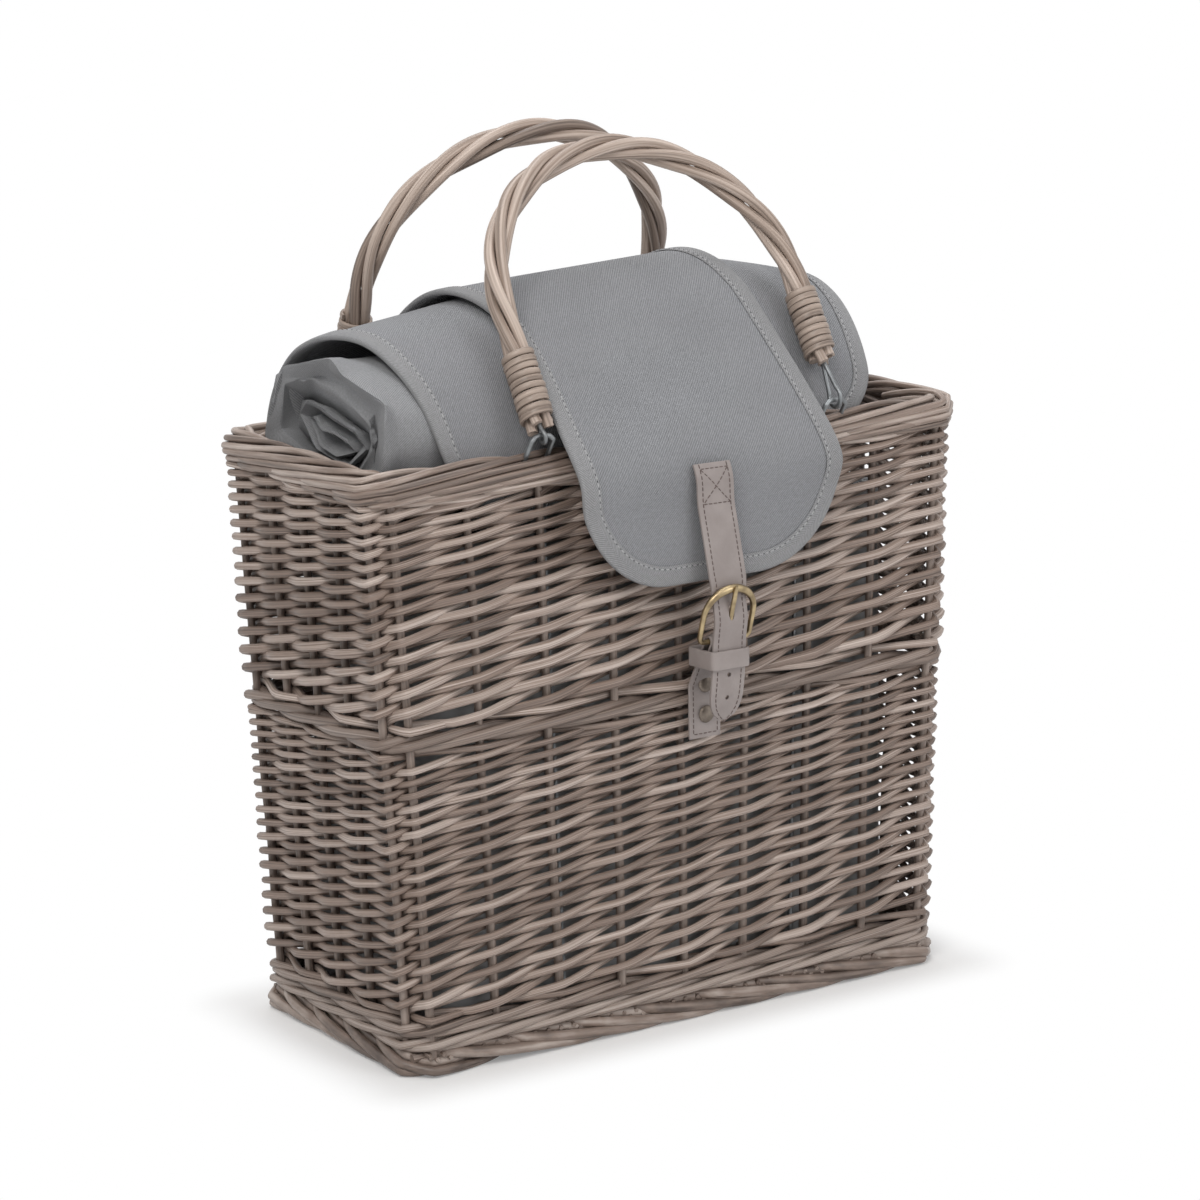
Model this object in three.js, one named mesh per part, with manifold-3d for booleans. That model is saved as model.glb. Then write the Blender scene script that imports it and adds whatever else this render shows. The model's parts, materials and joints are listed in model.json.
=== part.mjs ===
// Willow chiller basket: a woven box with an insulated bag, a buckled flap and two twisted handles.
// Millimetres, +Z up, front towards -Y. The origin is on the floor, at the middle of the whole box.
import * as THREE from 'three';
import { mergeVertices } from 'three/addons/utils/BufferGeometryUtils.js';
import Module from 'manifold-3d';

const wasm = await Module();
wasm.setup();

// Clearance between pieces that touch
const SEAT = 0.3;

// Woven body
const FLOOR_LENGTH = 381; // outside of the weave at the floor
const RIM_LENGTH = 414; // outside of the weave under the rim
const DEPTH = 182; // outside of the weave, front to back
const CORNER_CUT = 14; // how far each corner is cut back
const WALL = 13; // a stake with a rod on each side of it
const LONG_GAPS = 8; // gaps between stakes along a long side
const END_GAPS = 4; // gaps between stakes along an end
const STAKE_INSET = 6.5; // line of the stakes behind the outside of the weave
const STAKE_RADIUS = 2.5;
const RODS_ROUND = 42; // weaving rods set in round the basket
const FOOT_HEIGHT = 8;
const BASE_THICKNESS = 5.5;
const BASE_RELIEF = 1;
const BASE_STICKS = 12;
const BASE_COURSES = 8;
const BOTTOM_WALE_HEIGHT = 17;
const LOWER_HEIGHT = 158;
const LOWER_WEAVE = { courses: 36, butt: 2.45, tip: 1.75, spread: 0.22 }; // spread: wider courses at the foot
const MIDDLE_WALE_HEIGHT = 11;
const UPPER_HEIGHT = 134;
const UPPER_WEAVE = { courses: 29, butt: 2.6, tip: 1.7, spread: 0.28 };
const RIM_HEIGHT = 16;
const RIM_WIDTH = 19;
const RIM_PROUD = 6; // rim border beyond the weave
const WALE_WIDTH = 15.5;
const WALE_PROUD = 2.5; // wales beyond the weave
const FOOT_WIDTH = 18;
const FOOT_PROUD = 2;
const ROPE_DIP = 0.2; // depth of the furrows between border rods, as a share of the radius

// Cooler bag
const BAG_END_GAP = 10.5; // between the bag and the weave at each end, at the floor
const BAG_SIDE_GAP = 3.5; // between the bag and the weave at the front and back
const BAG_CORNER = 24;
const BAG_BELOW_RIM = 49.3;
const BAG_WALL = 6;
const LINING = 1.2;
const NECK_RADIUS = 57; // outside turn of the rolled neck
const NECK_CORE = 17;
const NECK_TURNS = 2.5;
const NECK_CLOTH = 3;
const NECK_LEFT = -190;
const NECK_RIGHT = 150;

// Wide cover over the roll
const COVER_HALF = 165; // half of its length along X
const COVER_SHIFT = -9;
const COVER_INSET = 3; // between the cover and the inside of the weave
const COVER_BELOW_RIM = 16.3; // start of the arch below the top of the rim
const COVER_RISE = 103; // rise of the arch at the middle
const COVER_END_DROP = 20; // how much lower the arch is at its ends
const COVER_CORNER = 40;
const COVER_CLOTH = 3;

// Flap
const FLAP_LEG_GAP = 10.5; // side of the flap in from the middle of a handle leg
const FLAP_SHIFT = 10; // middle of the flap at the front
const FLAP_ROOT_SHIFT = -22; // middle of the flap at its root
const FLAP_TAPER = 27; // how much narrower each side is at the root
const FLAP_CLOTH = 3;
const FLAP_GAP = 0.9; // between the flap and the cover that it lies on
const FLAP_ROOT_RISE = 3; // root above the rim
const FLAP_DROP = 83; // bottom edge below the rim
const FLAP_STAND_OFF = 7; // cloth in front of the rim
const FLAP_CORNER = 62;
const BINDING = 12; // width of the edge tape
const BINDING_PROUD = 0.8; // tape beyond each face of its cloth
const FOLD_ANGLE = 135; // place on the arch, in degrees, where the flap lifts

// Strap and buckle
const STRAP_WIDTH = 23;
const STRAP_THICKNESS = 2.2;
const STRAP_BELOW_RIM = 14.3;
const STRAP_TAIL = 48; // tip below the bar
const STRAP_SEWN = 30; // length sewn down to the flap
const STRAP_STAND_OFF = 11; // how far it bows out from the flap below that
const STRAP_TIP_LENGTH = 16;
const STRAP_TAIL_LEAN = 7; // how far the tail leans back to the wall below the bar
const STRAP_HOLE = 1.3;
const STRAP_HOLE_DROPS = [20, 3]; // below the bar
const BAR_HEIGHT = 234;
const BUCKLE_WIRE = 1.6;
const BUCKLE_WIDTH = 38;
const BUCKLE_LENGTH = 33; // bar to bow, centre to centre
const PRONG_RADIUS = 1.2;
const PIVOT_PLAY = 0.25;
const BOW_PLAY = 1.8; // between the strap and the bow over it
const CHAPE_WIDTH = 22;
const CHAPE_THICKNESS = 2;
const CHAPE_DROP = 62; // lower end below the bar
const CHAPE_FLAT = 38; // length that lies on the wall
const CHAPE_RETURN = 18; // length folded back from the bar
const KEEPER_HEIGHT = 11;
const KEEPER_THICKNESS = 1.8;
const KEEPER_CLEAR = 1; // between the keeper and the prong as it swings
const RIVET_DOME = 5.2;
const RIVET_RISE = 2.8;
const RIVET_SHANK = 1.6;
const RIVET_DROPS = { lower: 47.9, upper: 29.7 }; // below the bar, either side of the middle wale
const BURR_RADIUS = 4.5;
const BURR_THICKNESS = 1.5;

// Handles
const HANDLE_SPAN = 205; // between the middles of the legs
const HANDLE_LEG_STARTS = { front: [8, 28], rear: [17, 17] }; // lower ends of the rods above the pivot
const HANDLE_LEG_TOP = 76; // where the arch starts
const HANDLE_ARCH = 96; // rise of the arch
const HANDLE_RODS = 4;
const HANDLE_ROD = 3.1; // rod radius
const HANDLE_ROD_GAP = 0.4;
const HANDLE_TWISTS = 2.5;
const FRONT_HANDLE_SHIFT = 6; // middle of the front handle along X
const REAR_HANDLE_SHIFT = -18;
const FRONT_HANDLE_TOP = -7; // top of the arch along Y, from the middle of the basket
const REAR_HANDLE_TOP = 25.8;
const WHIPPING_RISE = 4; // its lowest turn above the lower end of the rods
const WHIPPING_TURNS = 9;
const WHIPPING_PITCH = 4;
const WHIPPING_ROD = 1.5;

// Wire of the handle eyes and anchors
const WIRE = 1.25;
const PIVOT_RISE = 10; // pivot above the rim
const PIVOT_OUT = 2; // pivot in front of the weave
const ANCHOR_SPAN = 18;
const ANCHOR_SHORT_LEG = 65;
const EYE_PLAY = 0.35;
const EYE_STEM = 40; // length inside the rods

// Worked-out heights of the woven body
const footTop = FOOT_HEIGHT;
const baseBottom = footTop + SEAT;
const baseTop = baseBottom + BASE_THICKNESS;
const bottomWaleBottom = baseTop + SEAT;
const lowerBottom = bottomWaleBottom + BOTTOM_WALE_HEIGHT + SEAT;
const lowerTop = lowerBottom + LOWER_HEIGHT;
const middleWaleBottom = lowerTop + SEAT;
const middleWaleTop = middleWaleBottom + MIDDLE_WALE_HEIGHT;
const upperBottom = middleWaleTop + SEAT;
const upperTop = upperBottom + UPPER_HEIGHT;
const rimBottom = upperTop + SEAT;
const rimTop = rimBottom + RIM_HEIGHT;
const frontOfWeave = -DEPTH / 2;
const frontOfRim = frontOfWeave - RIM_PROUD;

// Worked-out sizes of the bag, flap and strap
const bagLength = FLOOR_LENGTH - 2 * (WALL + BAG_END_GAP);
const bagDepth = DEPTH - 2 * (WALL + BAG_SIDE_GAP);
const bagTop = rimTop - BAG_BELOW_RIM;
const coverReach = DEPTH / 2 - WALL - COVER_INSET;
const coverSpring = rimTop - COVER_BELOW_RIM;
const flapHalf = HANDLE_SPAN / 2 - FLAP_LEG_GAP;
const flapRootHalf = flapHalf - FLAP_TAPER;
const strapTop = rimTop - STRAP_BELOW_RIM;
const strapTip = BAR_HEIGHT - STRAP_TAIL;
const chapeBottom = BAR_HEIGHT - CHAPE_DROP;

// Colours
const willow = { color: 0x8a7158, roughness: 0.75, metalness: 0 };
const darkWillow = { color: 0x6d5846, roughness: 0.8, metalness: 0 };
const splitWillow = { color: 0x9a8164, roughness: 0.7, metalness: 0 };
const greyCloth = { color: 0x77787b, roughness: 0.9, metalness: 0 };
const greyTape = { color: 0x8f9092, roughness: 0.85, metalness: 0 };
const foil = { color: 0xc4c6c8, roughness: 0.35, metalness: 0.6 };
const taupeLeather = { color: 0x74604f, roughness: 0.6, metalness: 0 };
const agedBrass = { color: 0x80683f, roughness: 0.4, metalness: 1 };
const zincWire = { color: 0x8e959b, roughness: 0.45, metalness: 1 };

// Solids from points and from booleans

function closedSolid(points, triangles) {
  let volume = 0;
  for (let t = 0; t < triangles.length; t += 3) {
    const [a, b, c] = [points[triangles[t]], points[triangles[t + 1]], points[triangles[t + 2]]];
    volume += a.dot(b.clone().cross(c));
  }
  const facing = volume > 0 ? triangles : triangles.slice().reverse();
  const geometry = new THREE.BufferGeometry();
  geometry.setAttribute('position', new THREE.Float32BufferAttribute(points.flatMap((p) => p.toArray()), 3));
  geometry.setIndex(facing);
  return geometry;
}

function toManifold(geometry) {
  const bare = geometry.clone();
  bare.deleteAttribute('normal');
  bare.deleteAttribute('uv');
  const merged = mergeVertices(bare, 1e-4);
  return new wasm.Manifold(new wasm.Mesh({
    numProp: 3,
    vertProperties: new Float32Array(merged.attributes.position.array),
    triVerts: new Uint32Array(merged.index.array),
  }));
}

function fromManifold(solid) {
  const mesh = solid.getMesh();
  const geometry = new THREE.BufferGeometry();
  geometry.setAttribute('position', new THREE.Float32BufferAttribute(mesh.vertProperties, 3));
  geometry.setIndex(Array.from(mesh.triVerts));
  return geometry;
}

function cut(geometry, tools) {
  const solid = tools.reduce((left, tool) => left.subtract(toManifold(tool)), toManifold(geometry));
  return fromManifold(solid);
}

function join(first, second) {
  return fromManifold(toManifold(first).add(toManifold(second)));
}

function common(first, second) {
  return fromManifold(toManifold(first).intersect(toManifold(second)));
}

// Ring whose section closes on itself: at(station, corner) gives the points
function ringSolid(stations, corners, at) {
  const points = [];
  const triangles = [];
  for (let i = 0; i < stations; i += 1) {
    for (let j = 0; j < corners; j += 1) {
      const a = i * corners + j;
      const b = ((i + 1) % stations) * corners + j;
      const c = ((i + 1) % stations) * corners + ((j + 1) % corners);
      const d = i * corners + ((j + 1) % corners);
      points.push(at(i, j));
      triangles.push(a, b, c, a, c, d);
    }
  }
  return closedSolid(points, triangles);
}

// Tube from rings of points, with a flat cap on each end
function tubeSolid(rings) {
  const sides = rings[0].length;
  const points = rings.flat();
  const triangles = [];
  for (let i = 0; i + 1 < rings.length; i += 1) {
    for (let j = 0; j < sides; j += 1) {
      const a = i * sides + j;
      const b = i * sides + ((j + 1) % sides);
      triangles.push(a, b, b + sides, a, b + sides, a + sides);
    }
  }
  const last = (rings.length - 1) * sides;
  for (let j = 1; j + 1 < sides; j += 1) {
    triangles.push(0, j + 1, j, last, last + j, last + j + 1);
  }
  return closedSolid(points, triangles);
}

// Sheet with thickness, from two grids of points that face each other
function sheetSolid(outer, inner) {
  const rows = outer.length;
  const columns = outer[0].length;
  const points = [...outer.flat(), ...inner.flat()];
  const under = rows * columns;
  const triangles = [];
  const quad = (a, b, c, d) => triangles.push(a, b, c, a, c, d);
  for (let i = 0; i + 1 < rows; i += 1) {
    for (let j = 0; j + 1 < columns; j += 1) {
      const a = i * columns + j;
      quad(a, a + 1, a + columns + 1, a + columns);
      quad(under + a, under + a + columns, under + a + columns + 1, under + a + 1);
    }
  }
  for (let i = 0; i + 1 < rows; i += 1) {
    const a = i * columns;
    const b = a + columns - 1;
    quad(a, a + columns, under + a + columns, under + a);
    quad(b, under + b, under + b + columns, b + columns);
  }
  for (let j = 0; j + 1 < columns; j += 1) {
    const b = (rows - 1) * columns + j;
    quad(j, under + j, under + j + 1, j + 1);
    quad(b, b + 1, under + b + 1, under + b);
  }
  return closedSolid(points, triangles);
}

// Shape drawn in (Y, Z) and extruded along X
function alongX(shape, from, to, curveSegments = 6) {
  const options = { depth: to - from, bevelEnabled: false, curveSegments };
  const geometry = new THREE.ExtrudeGeometry(shape, options);
  const turn = new THREE.Matrix4().makeBasis(
    new THREE.Vector3(0, 1, 0), new THREE.Vector3(0, 0, 1), new THREE.Vector3(1, 0, 0));
  return geometry.applyMatrix4(turn).translate(from, 0, 0);
}

function upright(shape, from, to, curveSegments = 3) {
  const options = { depth: to - from, bevelEnabled: false, curveSegments };
  const geometry = new THREE.ExtrudeGeometry(shape, options);
  return geometry.translate(0, 0, from);
}

function drill(radius, length, sides = 8) {
  return new THREE.CylinderGeometry(radius, radius, length, sides);
}

function box(low, high) {
  const size = high.clone().sub(low);
  const middle = high.clone().add(low).multiplyScalar(0.5);
  return new THREE.BoxGeometry(size.x, size.y, size.z).translate(middle.x, middle.y, middle.z);
}

function wireTube(curve, radius, steps, sides) {
  const circle = new THREE.Path().absarc(0, 0, radius, 0, 2 * Math.PI);
  const section = new THREE.Shape(circle.getPoints(sides / 2).slice(1));
  return new THREE.ExtrudeGeometry(section, { steps, extrudePath: curve, bevelEnabled: false });
}

function mesh(name, geometry, finish) {
  const piece = new THREE.Mesh(geometry, new THREE.MeshStandardMaterial(finish));
  piece.name = name;
  return piece;
}

// Outline of the woven wall, counted in stakes round the basket from the front left

const stakes = 2 * (LONG_GAPS + END_GAPS + 2);

function wallCorners(inset, height) {
  const length = FLOOR_LENGTH + (RIM_LENGTH - FLOOR_LENGTH) * (height / upperTop);
  const x = length / 2 - inset;
  const y = DEPTH / 2 - inset;
  const back = CORNER_CUT - inset * (2 - Math.SQRT2);
  return [
    [-x + back, -y, LONG_GAPS], [x - back, -y, 1], [x, -y + back, END_GAPS], [x, y - back, 1],
    [x - back, y, LONG_GAPS], [-x + back, y, 1], [-x, y - back, END_GAPS], [-x, -y + back, 1],
  ];
}

function wallPoint(place, inset, height) {
  const corners = wallCorners(inset, height);
  let left = ((place % stakes) + stakes) % stakes;
  let side = 0;
  while (left >= corners[side][2]) {
    left -= corners[side][2];
    side += 1;
  }
  const [x0, y0, gaps] = corners[side];
  const [x1, y1] = corners[(side + 1) % corners.length];
  const share = left / gaps;
  return new THREE.Vector3(x0 + (x1 - x0) * share, y0 + (y1 - y0) * share, height);
}

function wallOutline(inset, height) {
  return new THREE.Shape(wallCorners(inset, height).map(([x, y]) => new THREE.Vector2(x, y)));
}

// Wall of single rods, set in all round: each rod climbs to the right, outside one stake and behind the next
const rodRelief = STAKE_INSET + STAKE_RADIUS; // outside of a rod that passes behind a stake

// Points up the wall at a stake: the lower edge, each rod that passes the stake, and the upper edge
function weaveColumn(stake, bottom, top, { courses, butt, tip, spread }) {
  const started = (stake * RODS_ROUND) / stakes; // rods that start from the first stake to this one
  const column = [{ order: -Infinity, point: wallPoint(stake, rodRelief / 2, bottom) }];
  for (let rod = Math.floor(started); rod >= started - courses; rod -= 1) {
    const share = (started - rod) / courses;
    const rise = (1 + spread) * share - spread * share * share;
    const height = bottom + butt + (top - bottom - butt - tip) * rise;
    const outside = (stake + rod) % 2 === 0;
    column.push({ order: -rod, outside, point: wallPoint(stake, outside ? 0 : rodRelief, height) });
  }
  column.push({ order: Infinity, point: wallPoint(stake, rodRelief / 2, top) });
  column.push({ point: wallPoint(stake, WALL, top) }, { point: wallPoint(stake, WALL, bottom) });
  return column;
}

// Triangles between the columns of two stakes: rods run on from stake to stake, with a furrow between each two
function weaveGap(near, far, at) {
  const triangles = [];
  const [nearTop, farTop] = [near.length - 3, far.length - 3];
  let [i, j] = [0, 0];
  while (i < nearTop || j < farTop) {
    const nearNext = near[i + 1].order;
    const farNext = far[j + 1].order;
    const both = nearNext === farNext;
    if (i < nearTop && (j === farTop || nearNext < farNext || (both && near[i].outside))) {
      triangles.push(at(0, i), at(1, j), at(0, i + 1));
      i += 1;
    } else {
      triangles.push(at(0, i), at(1, j), at(1, j + 1));
      j += 1;
    }
  }
  for (let k = 0; k < 3; k += 1) {
    const [nearNext, farNext] = k < 2 ? [nearTop + k + 1, farTop + k + 1] : [0, 0];
    triangles.push(at(0, nearTop + k), at(1, farTop + k), at(1, farNext));
    triangles.push(at(0, nearTop + k), at(1, farNext), at(0, nearNext));
  }
  return triangles;
}

function weaveBand(bottom, top, weave) {
  const columns = Array.from({ length: stakes + 1 }, (_, stake) => weaveColumn(stake, bottom, top, weave));
  const starts = [0];
  for (const column of columns) starts.push(starts[starts.length - 1] + column.length);
  const points = columns.slice(0, stakes).flat().map(({ point }) => point);
  const triangles = [];
  for (let stake = 0; stake < stakes; stake += 1) {
    const at = (side, index) => (starts[stake + side] + index) % points.length;
    triangles.push(...weaveGap(columns[stake], columns[stake + 1], at));
  }
  return closedSolid(points, triangles);
}

// Round of rods that wind about each other, as in a wale or a border
function ropeRing({ bottom, height, width, proud, rods, floor = -Infinity }) {
  const stations = 2 * stakes;
  const corners = 3 * rods;
  const stationsPerRod = 4;
  const middle = bottom + height / 2;
  return ringSolid(stations, corners, (station, corner) => {
    const angle = (2 * Math.PI * corner) / corners;
    const wave = Math.cos(rods * angle + (2 * Math.PI * station) / stationsPerRod);
    const swell = 1 - ROPE_DIP * (0.5 - 0.5 * wave);
    const inset = width / 2 - proud - (width / 2) * swell * Math.cos(angle);
    const rise = middle + (height / 2) * swell * Math.sin(angle);
    return wallPoint(station / 2, inset, Math.max(rise, floor));
  });
}

// Woven base: sticks across, courses along, cut to the outline of the wall
function basePanel() {
  const outline = upright(wallOutline(1, baseBottom), baseBottom - 1, baseTop + 1);
  const x = FLOOR_LENGTH / 2 + CORNER_CUT;
  const y = DEPTH / 2 + CORNER_CUT;
  const grid = (level, side) => Array.from({ length: BASE_STICKS + 1 }, (_, i) => (
    Array.from({ length: BASE_COURSES + 1 }, (__, j) => new THREE.Vector3(
      -x + (2 * x * i) / BASE_STICKS,
      -y + (2 * y * j) / BASE_COURSES,
      level - side * BASE_RELIEF * ((i + j) % 2),
    ))));
  return common(sheetSolid(grid(baseTop, 1), grid(baseBottom, -1)), outline);
}

// Soft neck: cloth that comes up from the back wall of the bag and rolls forward on itself
function neckProfile() {
  const pitch = (NECK_RADIUS - NECK_CORE) / NECK_TURNS;
  const lowest = NECK_RADIUS - 0.75 * pitch + NECK_CLOTH / 2;
  const middle = bagTop + SEAT + lowest;
  const stepsPerTurn = 16;
  const steps = NECK_TURNS * stepsPerTurn;
  const tail = bagDepth / 2 - BAG_WALL + NECK_CLOTH / 2;
  const line = [bagTop + SEAT, bagTop + 2 * NECK_CLOTH].map((height) => new THREE.Vector2(tail, height));
  for (let i = 0; i <= steps; i += 1) {
    const angle = (2 * Math.PI * i) / stepsPerTurn;
    const radius = NECK_RADIUS - NECK_CLOTH / 2 - (pitch * i) / stepsPerTurn;
    line.push(new THREE.Vector2(radius * Math.cos(angle), middle + radius * Math.sin(angle)));
  }
  return line;
}

function bandShape(line, thickness) {
  const sideOf = (sign) => line.map((point, i) => {
    const ahead = line[Math.min(i + 1, line.length - 1)];
    const behind = line[Math.max(i - 1, 0)];
    const along = ahead.clone().sub(behind).normalize();
    const out = (sign * thickness) / 2;
    return new THREE.Vector2(point.x - out * along.y, point.y + out * along.x);
  });
  return new THREE.Shape([...sideOf(1), ...sideOf(-1).reverse()]);
}

function roundedBox(length, depth, corner, bottom, top) {
  const [x, y] = [length / 2 - corner, depth / 2 - corner];
  const shape = new THREE.Shape();
  shape.absarc(x, -y, corner, -Math.PI / 2, 0);
  shape.absarc(x, y, corner, 0, Math.PI / 2);
  shape.absarc(-x, y, corner, Math.PI / 2, Math.PI);
  shape.absarc(-x, -y, corner, Math.PI, 1.5 * Math.PI);
  return upright(shape, bottom, top);
}

function openBag(length, depth, corner, bottom, wall) {
  const [inLength, inDepth] = [length - 2 * wall, depth - 2 * wall];
  const hollow = roundedBox(inLength, inDepth, corner - wall, bottom + wall, bagTop + wall);
  return cut(roundedBox(length, depth, corner, bottom, bagTop), [hollow]);
}

// Tongue-shaped outline, from its root round its two corners and back, as (across, along) pairs
function tongue(half, start, end, corner, steps) {
  const side = (sign) => {
    const points = [];
    const straight = end - corner - start;
    for (let i = 0; i <= steps; i += 1) points.push([sign * half, start + (straight * i) / steps]);
    for (let i = 1; i <= steps; i += 1) {
      const angle = ((Math.PI / 2) * i) / steps;
      const across = half - corner + corner * Math.cos(angle);
      points.push([sign * across, end - corner + corner * Math.sin(angle)]);
    }
    return points;
  };
  return [...side(-1), ...side(1).reverse()];
}

function tongueHalf(half, end, corner, along) {
  const past = Math.max(0, along - (end - corner));
  return half - corner + Math.sqrt(Math.max(0, corner * corner - past * past));
}

// Cloth laid on a surface: at(across, along, lift) gives a point, lift is the height off the middle
function clothSheet(at, { half, start, end, corner, thickness, straightRows, cornerRows, columns }) {
  const straight = end - corner - start;
  const rows = Array.from({ length: straightRows + 1 }, (_, i) => start + (straight * i) / straightRows);
  for (let i = 1; i <= cornerRows; i += 1) {
    rows.push(end - corner + corner * Math.sin(((Math.PI / 2) * i) / cornerRows));
  }
  const grid = (lift) => rows.map((along) => {
    const wide = tongueHalf(half, end, corner, along);
    return Array.from({ length: columns + 1 }, (_, j) => at(wide * ((2 * j) / columns - 1), along, lift));
  });
  return sheetSolid(grid(thickness / 2), grid(-thickness / 2));
}

function tapeStrip(at, outside, inside, thickness) {
  const grid = (lift) => outside.map((pair, i) => [at(...pair, lift), at(...inside[i], lift)]);
  return sheetSolid(grid(thickness / 2), grid(-thickness / 2));
}

// Wide cover: up from the back wall of the bag and over the roll in an arch to the front of the mouth
const coverRoot = bagTop + SEAT - coverSpring;
const coverSpan = Math.PI * ((coverReach + COVER_RISE) / 2); // length along the arch

function coverAt(across, along, lift) {
  const angle = (Math.max(along, 0) / coverSpan) * Math.PI;
  const outside = lift - COVER_CLOTH / 2;
  const rise = COVER_RISE - COVER_END_DROP * (across / COVER_HALF) ** 2 + outside;
  const reach = coverReach + outside;
  const height = coverSpring + rise * Math.sin(angle) + Math.min(along, 0);
  return new THREE.Vector3(COVER_SHIFT + across, reach * Math.cos(angle), height);
}

// Flap: follows the middle of the cover from its root at the back, then hangs over the front of the rim
const flapLift = FLAP_GAP + FLAP_CLOTH / 2;
const rootAngle = Math.asin((rimTop + FLAP_ROOT_RISE - coverSpring) / COVER_RISE);
const foldAngle = THREE.MathUtils.degToRad(FOLD_ANGLE);
const archSteps = 8;
const archPoints = Array.from({ length: archSteps + 1 }, (_, i) => {
  const angle = rootAngle + ((foldAngle - rootAngle) * i) / archSteps;
  return new THREE.Vector3(
    0, (coverReach + flapLift) * Math.cos(angle), coverSpring + (COVER_RISE + flapLift) * Math.sin(angle));
});
const hangY = frontOfRim - FLAP_STAND_OFF;
const hangPoints = [
  new THREE.Vector3(0, hangY, rimTop - 8),
  new THREE.Vector3(0, hangY - 1.5, rimTop - FLAP_DROP / 2),
  new THREE.Vector3(0, hangY - 1, rimTop - FLAP_DROP),
];
const flapLine = new THREE.CatmullRomCurve3([...archPoints, ...hangPoints]);
const flapEnd = flapLine.getLength();
const flapFold = flapLine.getLengths(200 * (archSteps + hangPoints.length))[200 * archSteps];

function flapPlace(along, lift) {
  const share = Math.min(Math.max(along / flapEnd, 0), 1);
  const point = flapLine.getPointAt(share);
  const forward = flapLine.getTangentAt(share);
  return new THREE.Vector3(0, point.y + lift * forward.z, point.z - lift * forward.y);
}

// The flap runs askew and widens from its root to its round corners
function flapAt(across, along, lift) {
  const share = Math.min(along / (flapEnd - FLAP_CORNER), 1);
  const middle = FLAP_ROOT_SHIFT + (FLAP_SHIFT - FLAP_ROOT_SHIFT) * share;
  const wide = (flapRootHalf + (flapHalf - flapRootHalf) * share) / flapHalf;
  return flapPlace(along, lift).setX(middle + across * wide);
}

function flapPieces() {
  const gap = SEAT / 2;
  const clothHalf = flapHalf - BINDING - SEAT;
  const tapeThickness = FLAP_CLOTH + 2 * BINDING_PROUD;
  const tapeLift = (across, along, lift) => flapAt(across, along, lift + BINDING_PROUD);
  const topRows = 16;
  const topStations = Array.from({ length: topRows + 1 }, (_, i) => ((flapFold - gap) * i) / topRows);
  const topRow = (along, lift) => [-1, 1].map((side) => flapAt(side * clothHalf, along, lift));
  const topGrid = (lift) => topStations.map((along) => topRow(along, lift));
  const sideTape = (side) => tapeStrip(
    tapeLift,
    topStations.map((along) => [side * flapHalf, along]),
    topStations.map((along) => [side * (flapHalf - BINDING), along]),
    tapeThickness,
  );
  const cornerSteps = 6;
  const start = flapFold + gap;
  const clothEnd = flapEnd - BINDING - SEAT;
  const clothCorner = FLAP_CORNER - BINDING - SEAT;
  return {
    top: sheetSolid(topGrid(FLAP_CLOTH / 2), topGrid(-FLAP_CLOTH / 2)),
    topTapeLeft: sideTape(-1),
    topTapeRight: sideTape(1),
    front: clothSheet(flapAt, {
      half: clothHalf, start, end: clothEnd, corner: clothCorner, thickness: FLAP_CLOTH,
      straightRows: 8, cornerRows: cornerSteps, columns: 4,
    }),
    frontTape: tapeStrip(
      tapeLift,
      tongue(flapHalf, start, flapEnd, FLAP_CORNER, cornerSteps),
      tongue(flapHalf - BINDING, start, flapEnd - BINDING, FLAP_CORNER - BINDING, cornerSteps),
      tapeThickness,
    ),
  };
}

function coverPieces() {
  const steps = 6;
  const clothHalf = COVER_HALF - BINDING - SEAT;
  const clothEnd = coverSpan - BINDING - SEAT;
  return {
    cloth: clothSheet(coverAt, {
      half: clothHalf, start: coverRoot, end: clothEnd, corner: COVER_CORNER - BINDING - SEAT,
      thickness: COVER_CLOTH, straightRows: 14, cornerRows: 4, columns: 6,
    }),
    tape: tapeStrip(
      coverAt,
      tongue(COVER_HALF, coverRoot, coverSpan, COVER_CORNER, 2 * steps),
      tongue(COVER_HALF - BINDING, coverRoot, coverSpan - BINDING, COVER_CORNER - BINDING, 2 * steps),
      COVER_CLOTH,
    ),
  };
}

// Strap line in (Y, Z): sewn down the flap, then hanging over the bar of the buckle
const strapLift = FLAP_CLOTH / 2 + 2 * BINDING_PROUD + SEAT + STRAP_THICKNESS / 2;
const strapFlapEnd = flapPlace(flapEnd, strapLift);
const strapY = strapFlapEnd.y - STRAP_STAND_OFF;
const barY = strapY + STRAP_THICKNESS / 2 + SEAT + CHAPE_THICKNESS + PIVOT_PLAY + BUCKLE_WIRE;
const bowY = strapY - STRAP_THICKNESS / 2 - BOW_PLAY - BUCKLE_WIRE;
const buckleTilt = Math.asin((barY - bowY) / BUCKLE_LENGTH);

function alongForHeight(height) {
  let low = flapFold;
  let high = flapEnd;
  for (let i = 0; i < 30; i += 1) {
    const middle = (low + high) / 2;
    if (flapPlace(middle, strapLift).z > height) low = middle;
    else high = middle;
  }
  return low;
}

function ribbon(line, thickness, halfAt) {
  const side = (sign) => line.map((point, i) => {
    const ahead = line[Math.min(i + 1, line.length - 1)];
    const behind = line[Math.max(i - 1, 0)];
    const along = ahead.clone().sub(behind).normalize();
    const y = point.x - sign * along.y * (thickness / 2);
    const z = point.y + sign * along.x * (thickness / 2);
    return [-1, 1].map((edge) => new THREE.Vector3(FLAP_SHIFT + edge * halfAt(i), y, z));
  });
  return sheetSolid(side(1), side(-1));
}

function prongPoint(along, out) {
  return new THREE.Vector3(
    FLAP_SHIFT,
    barY - along * Math.sin(buckleTilt) - out * Math.cos(buckleTilt),
    BAR_HEIGHT + along * Math.cos(buckleTilt) - out * Math.sin(buckleTilt),
  );
}

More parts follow.
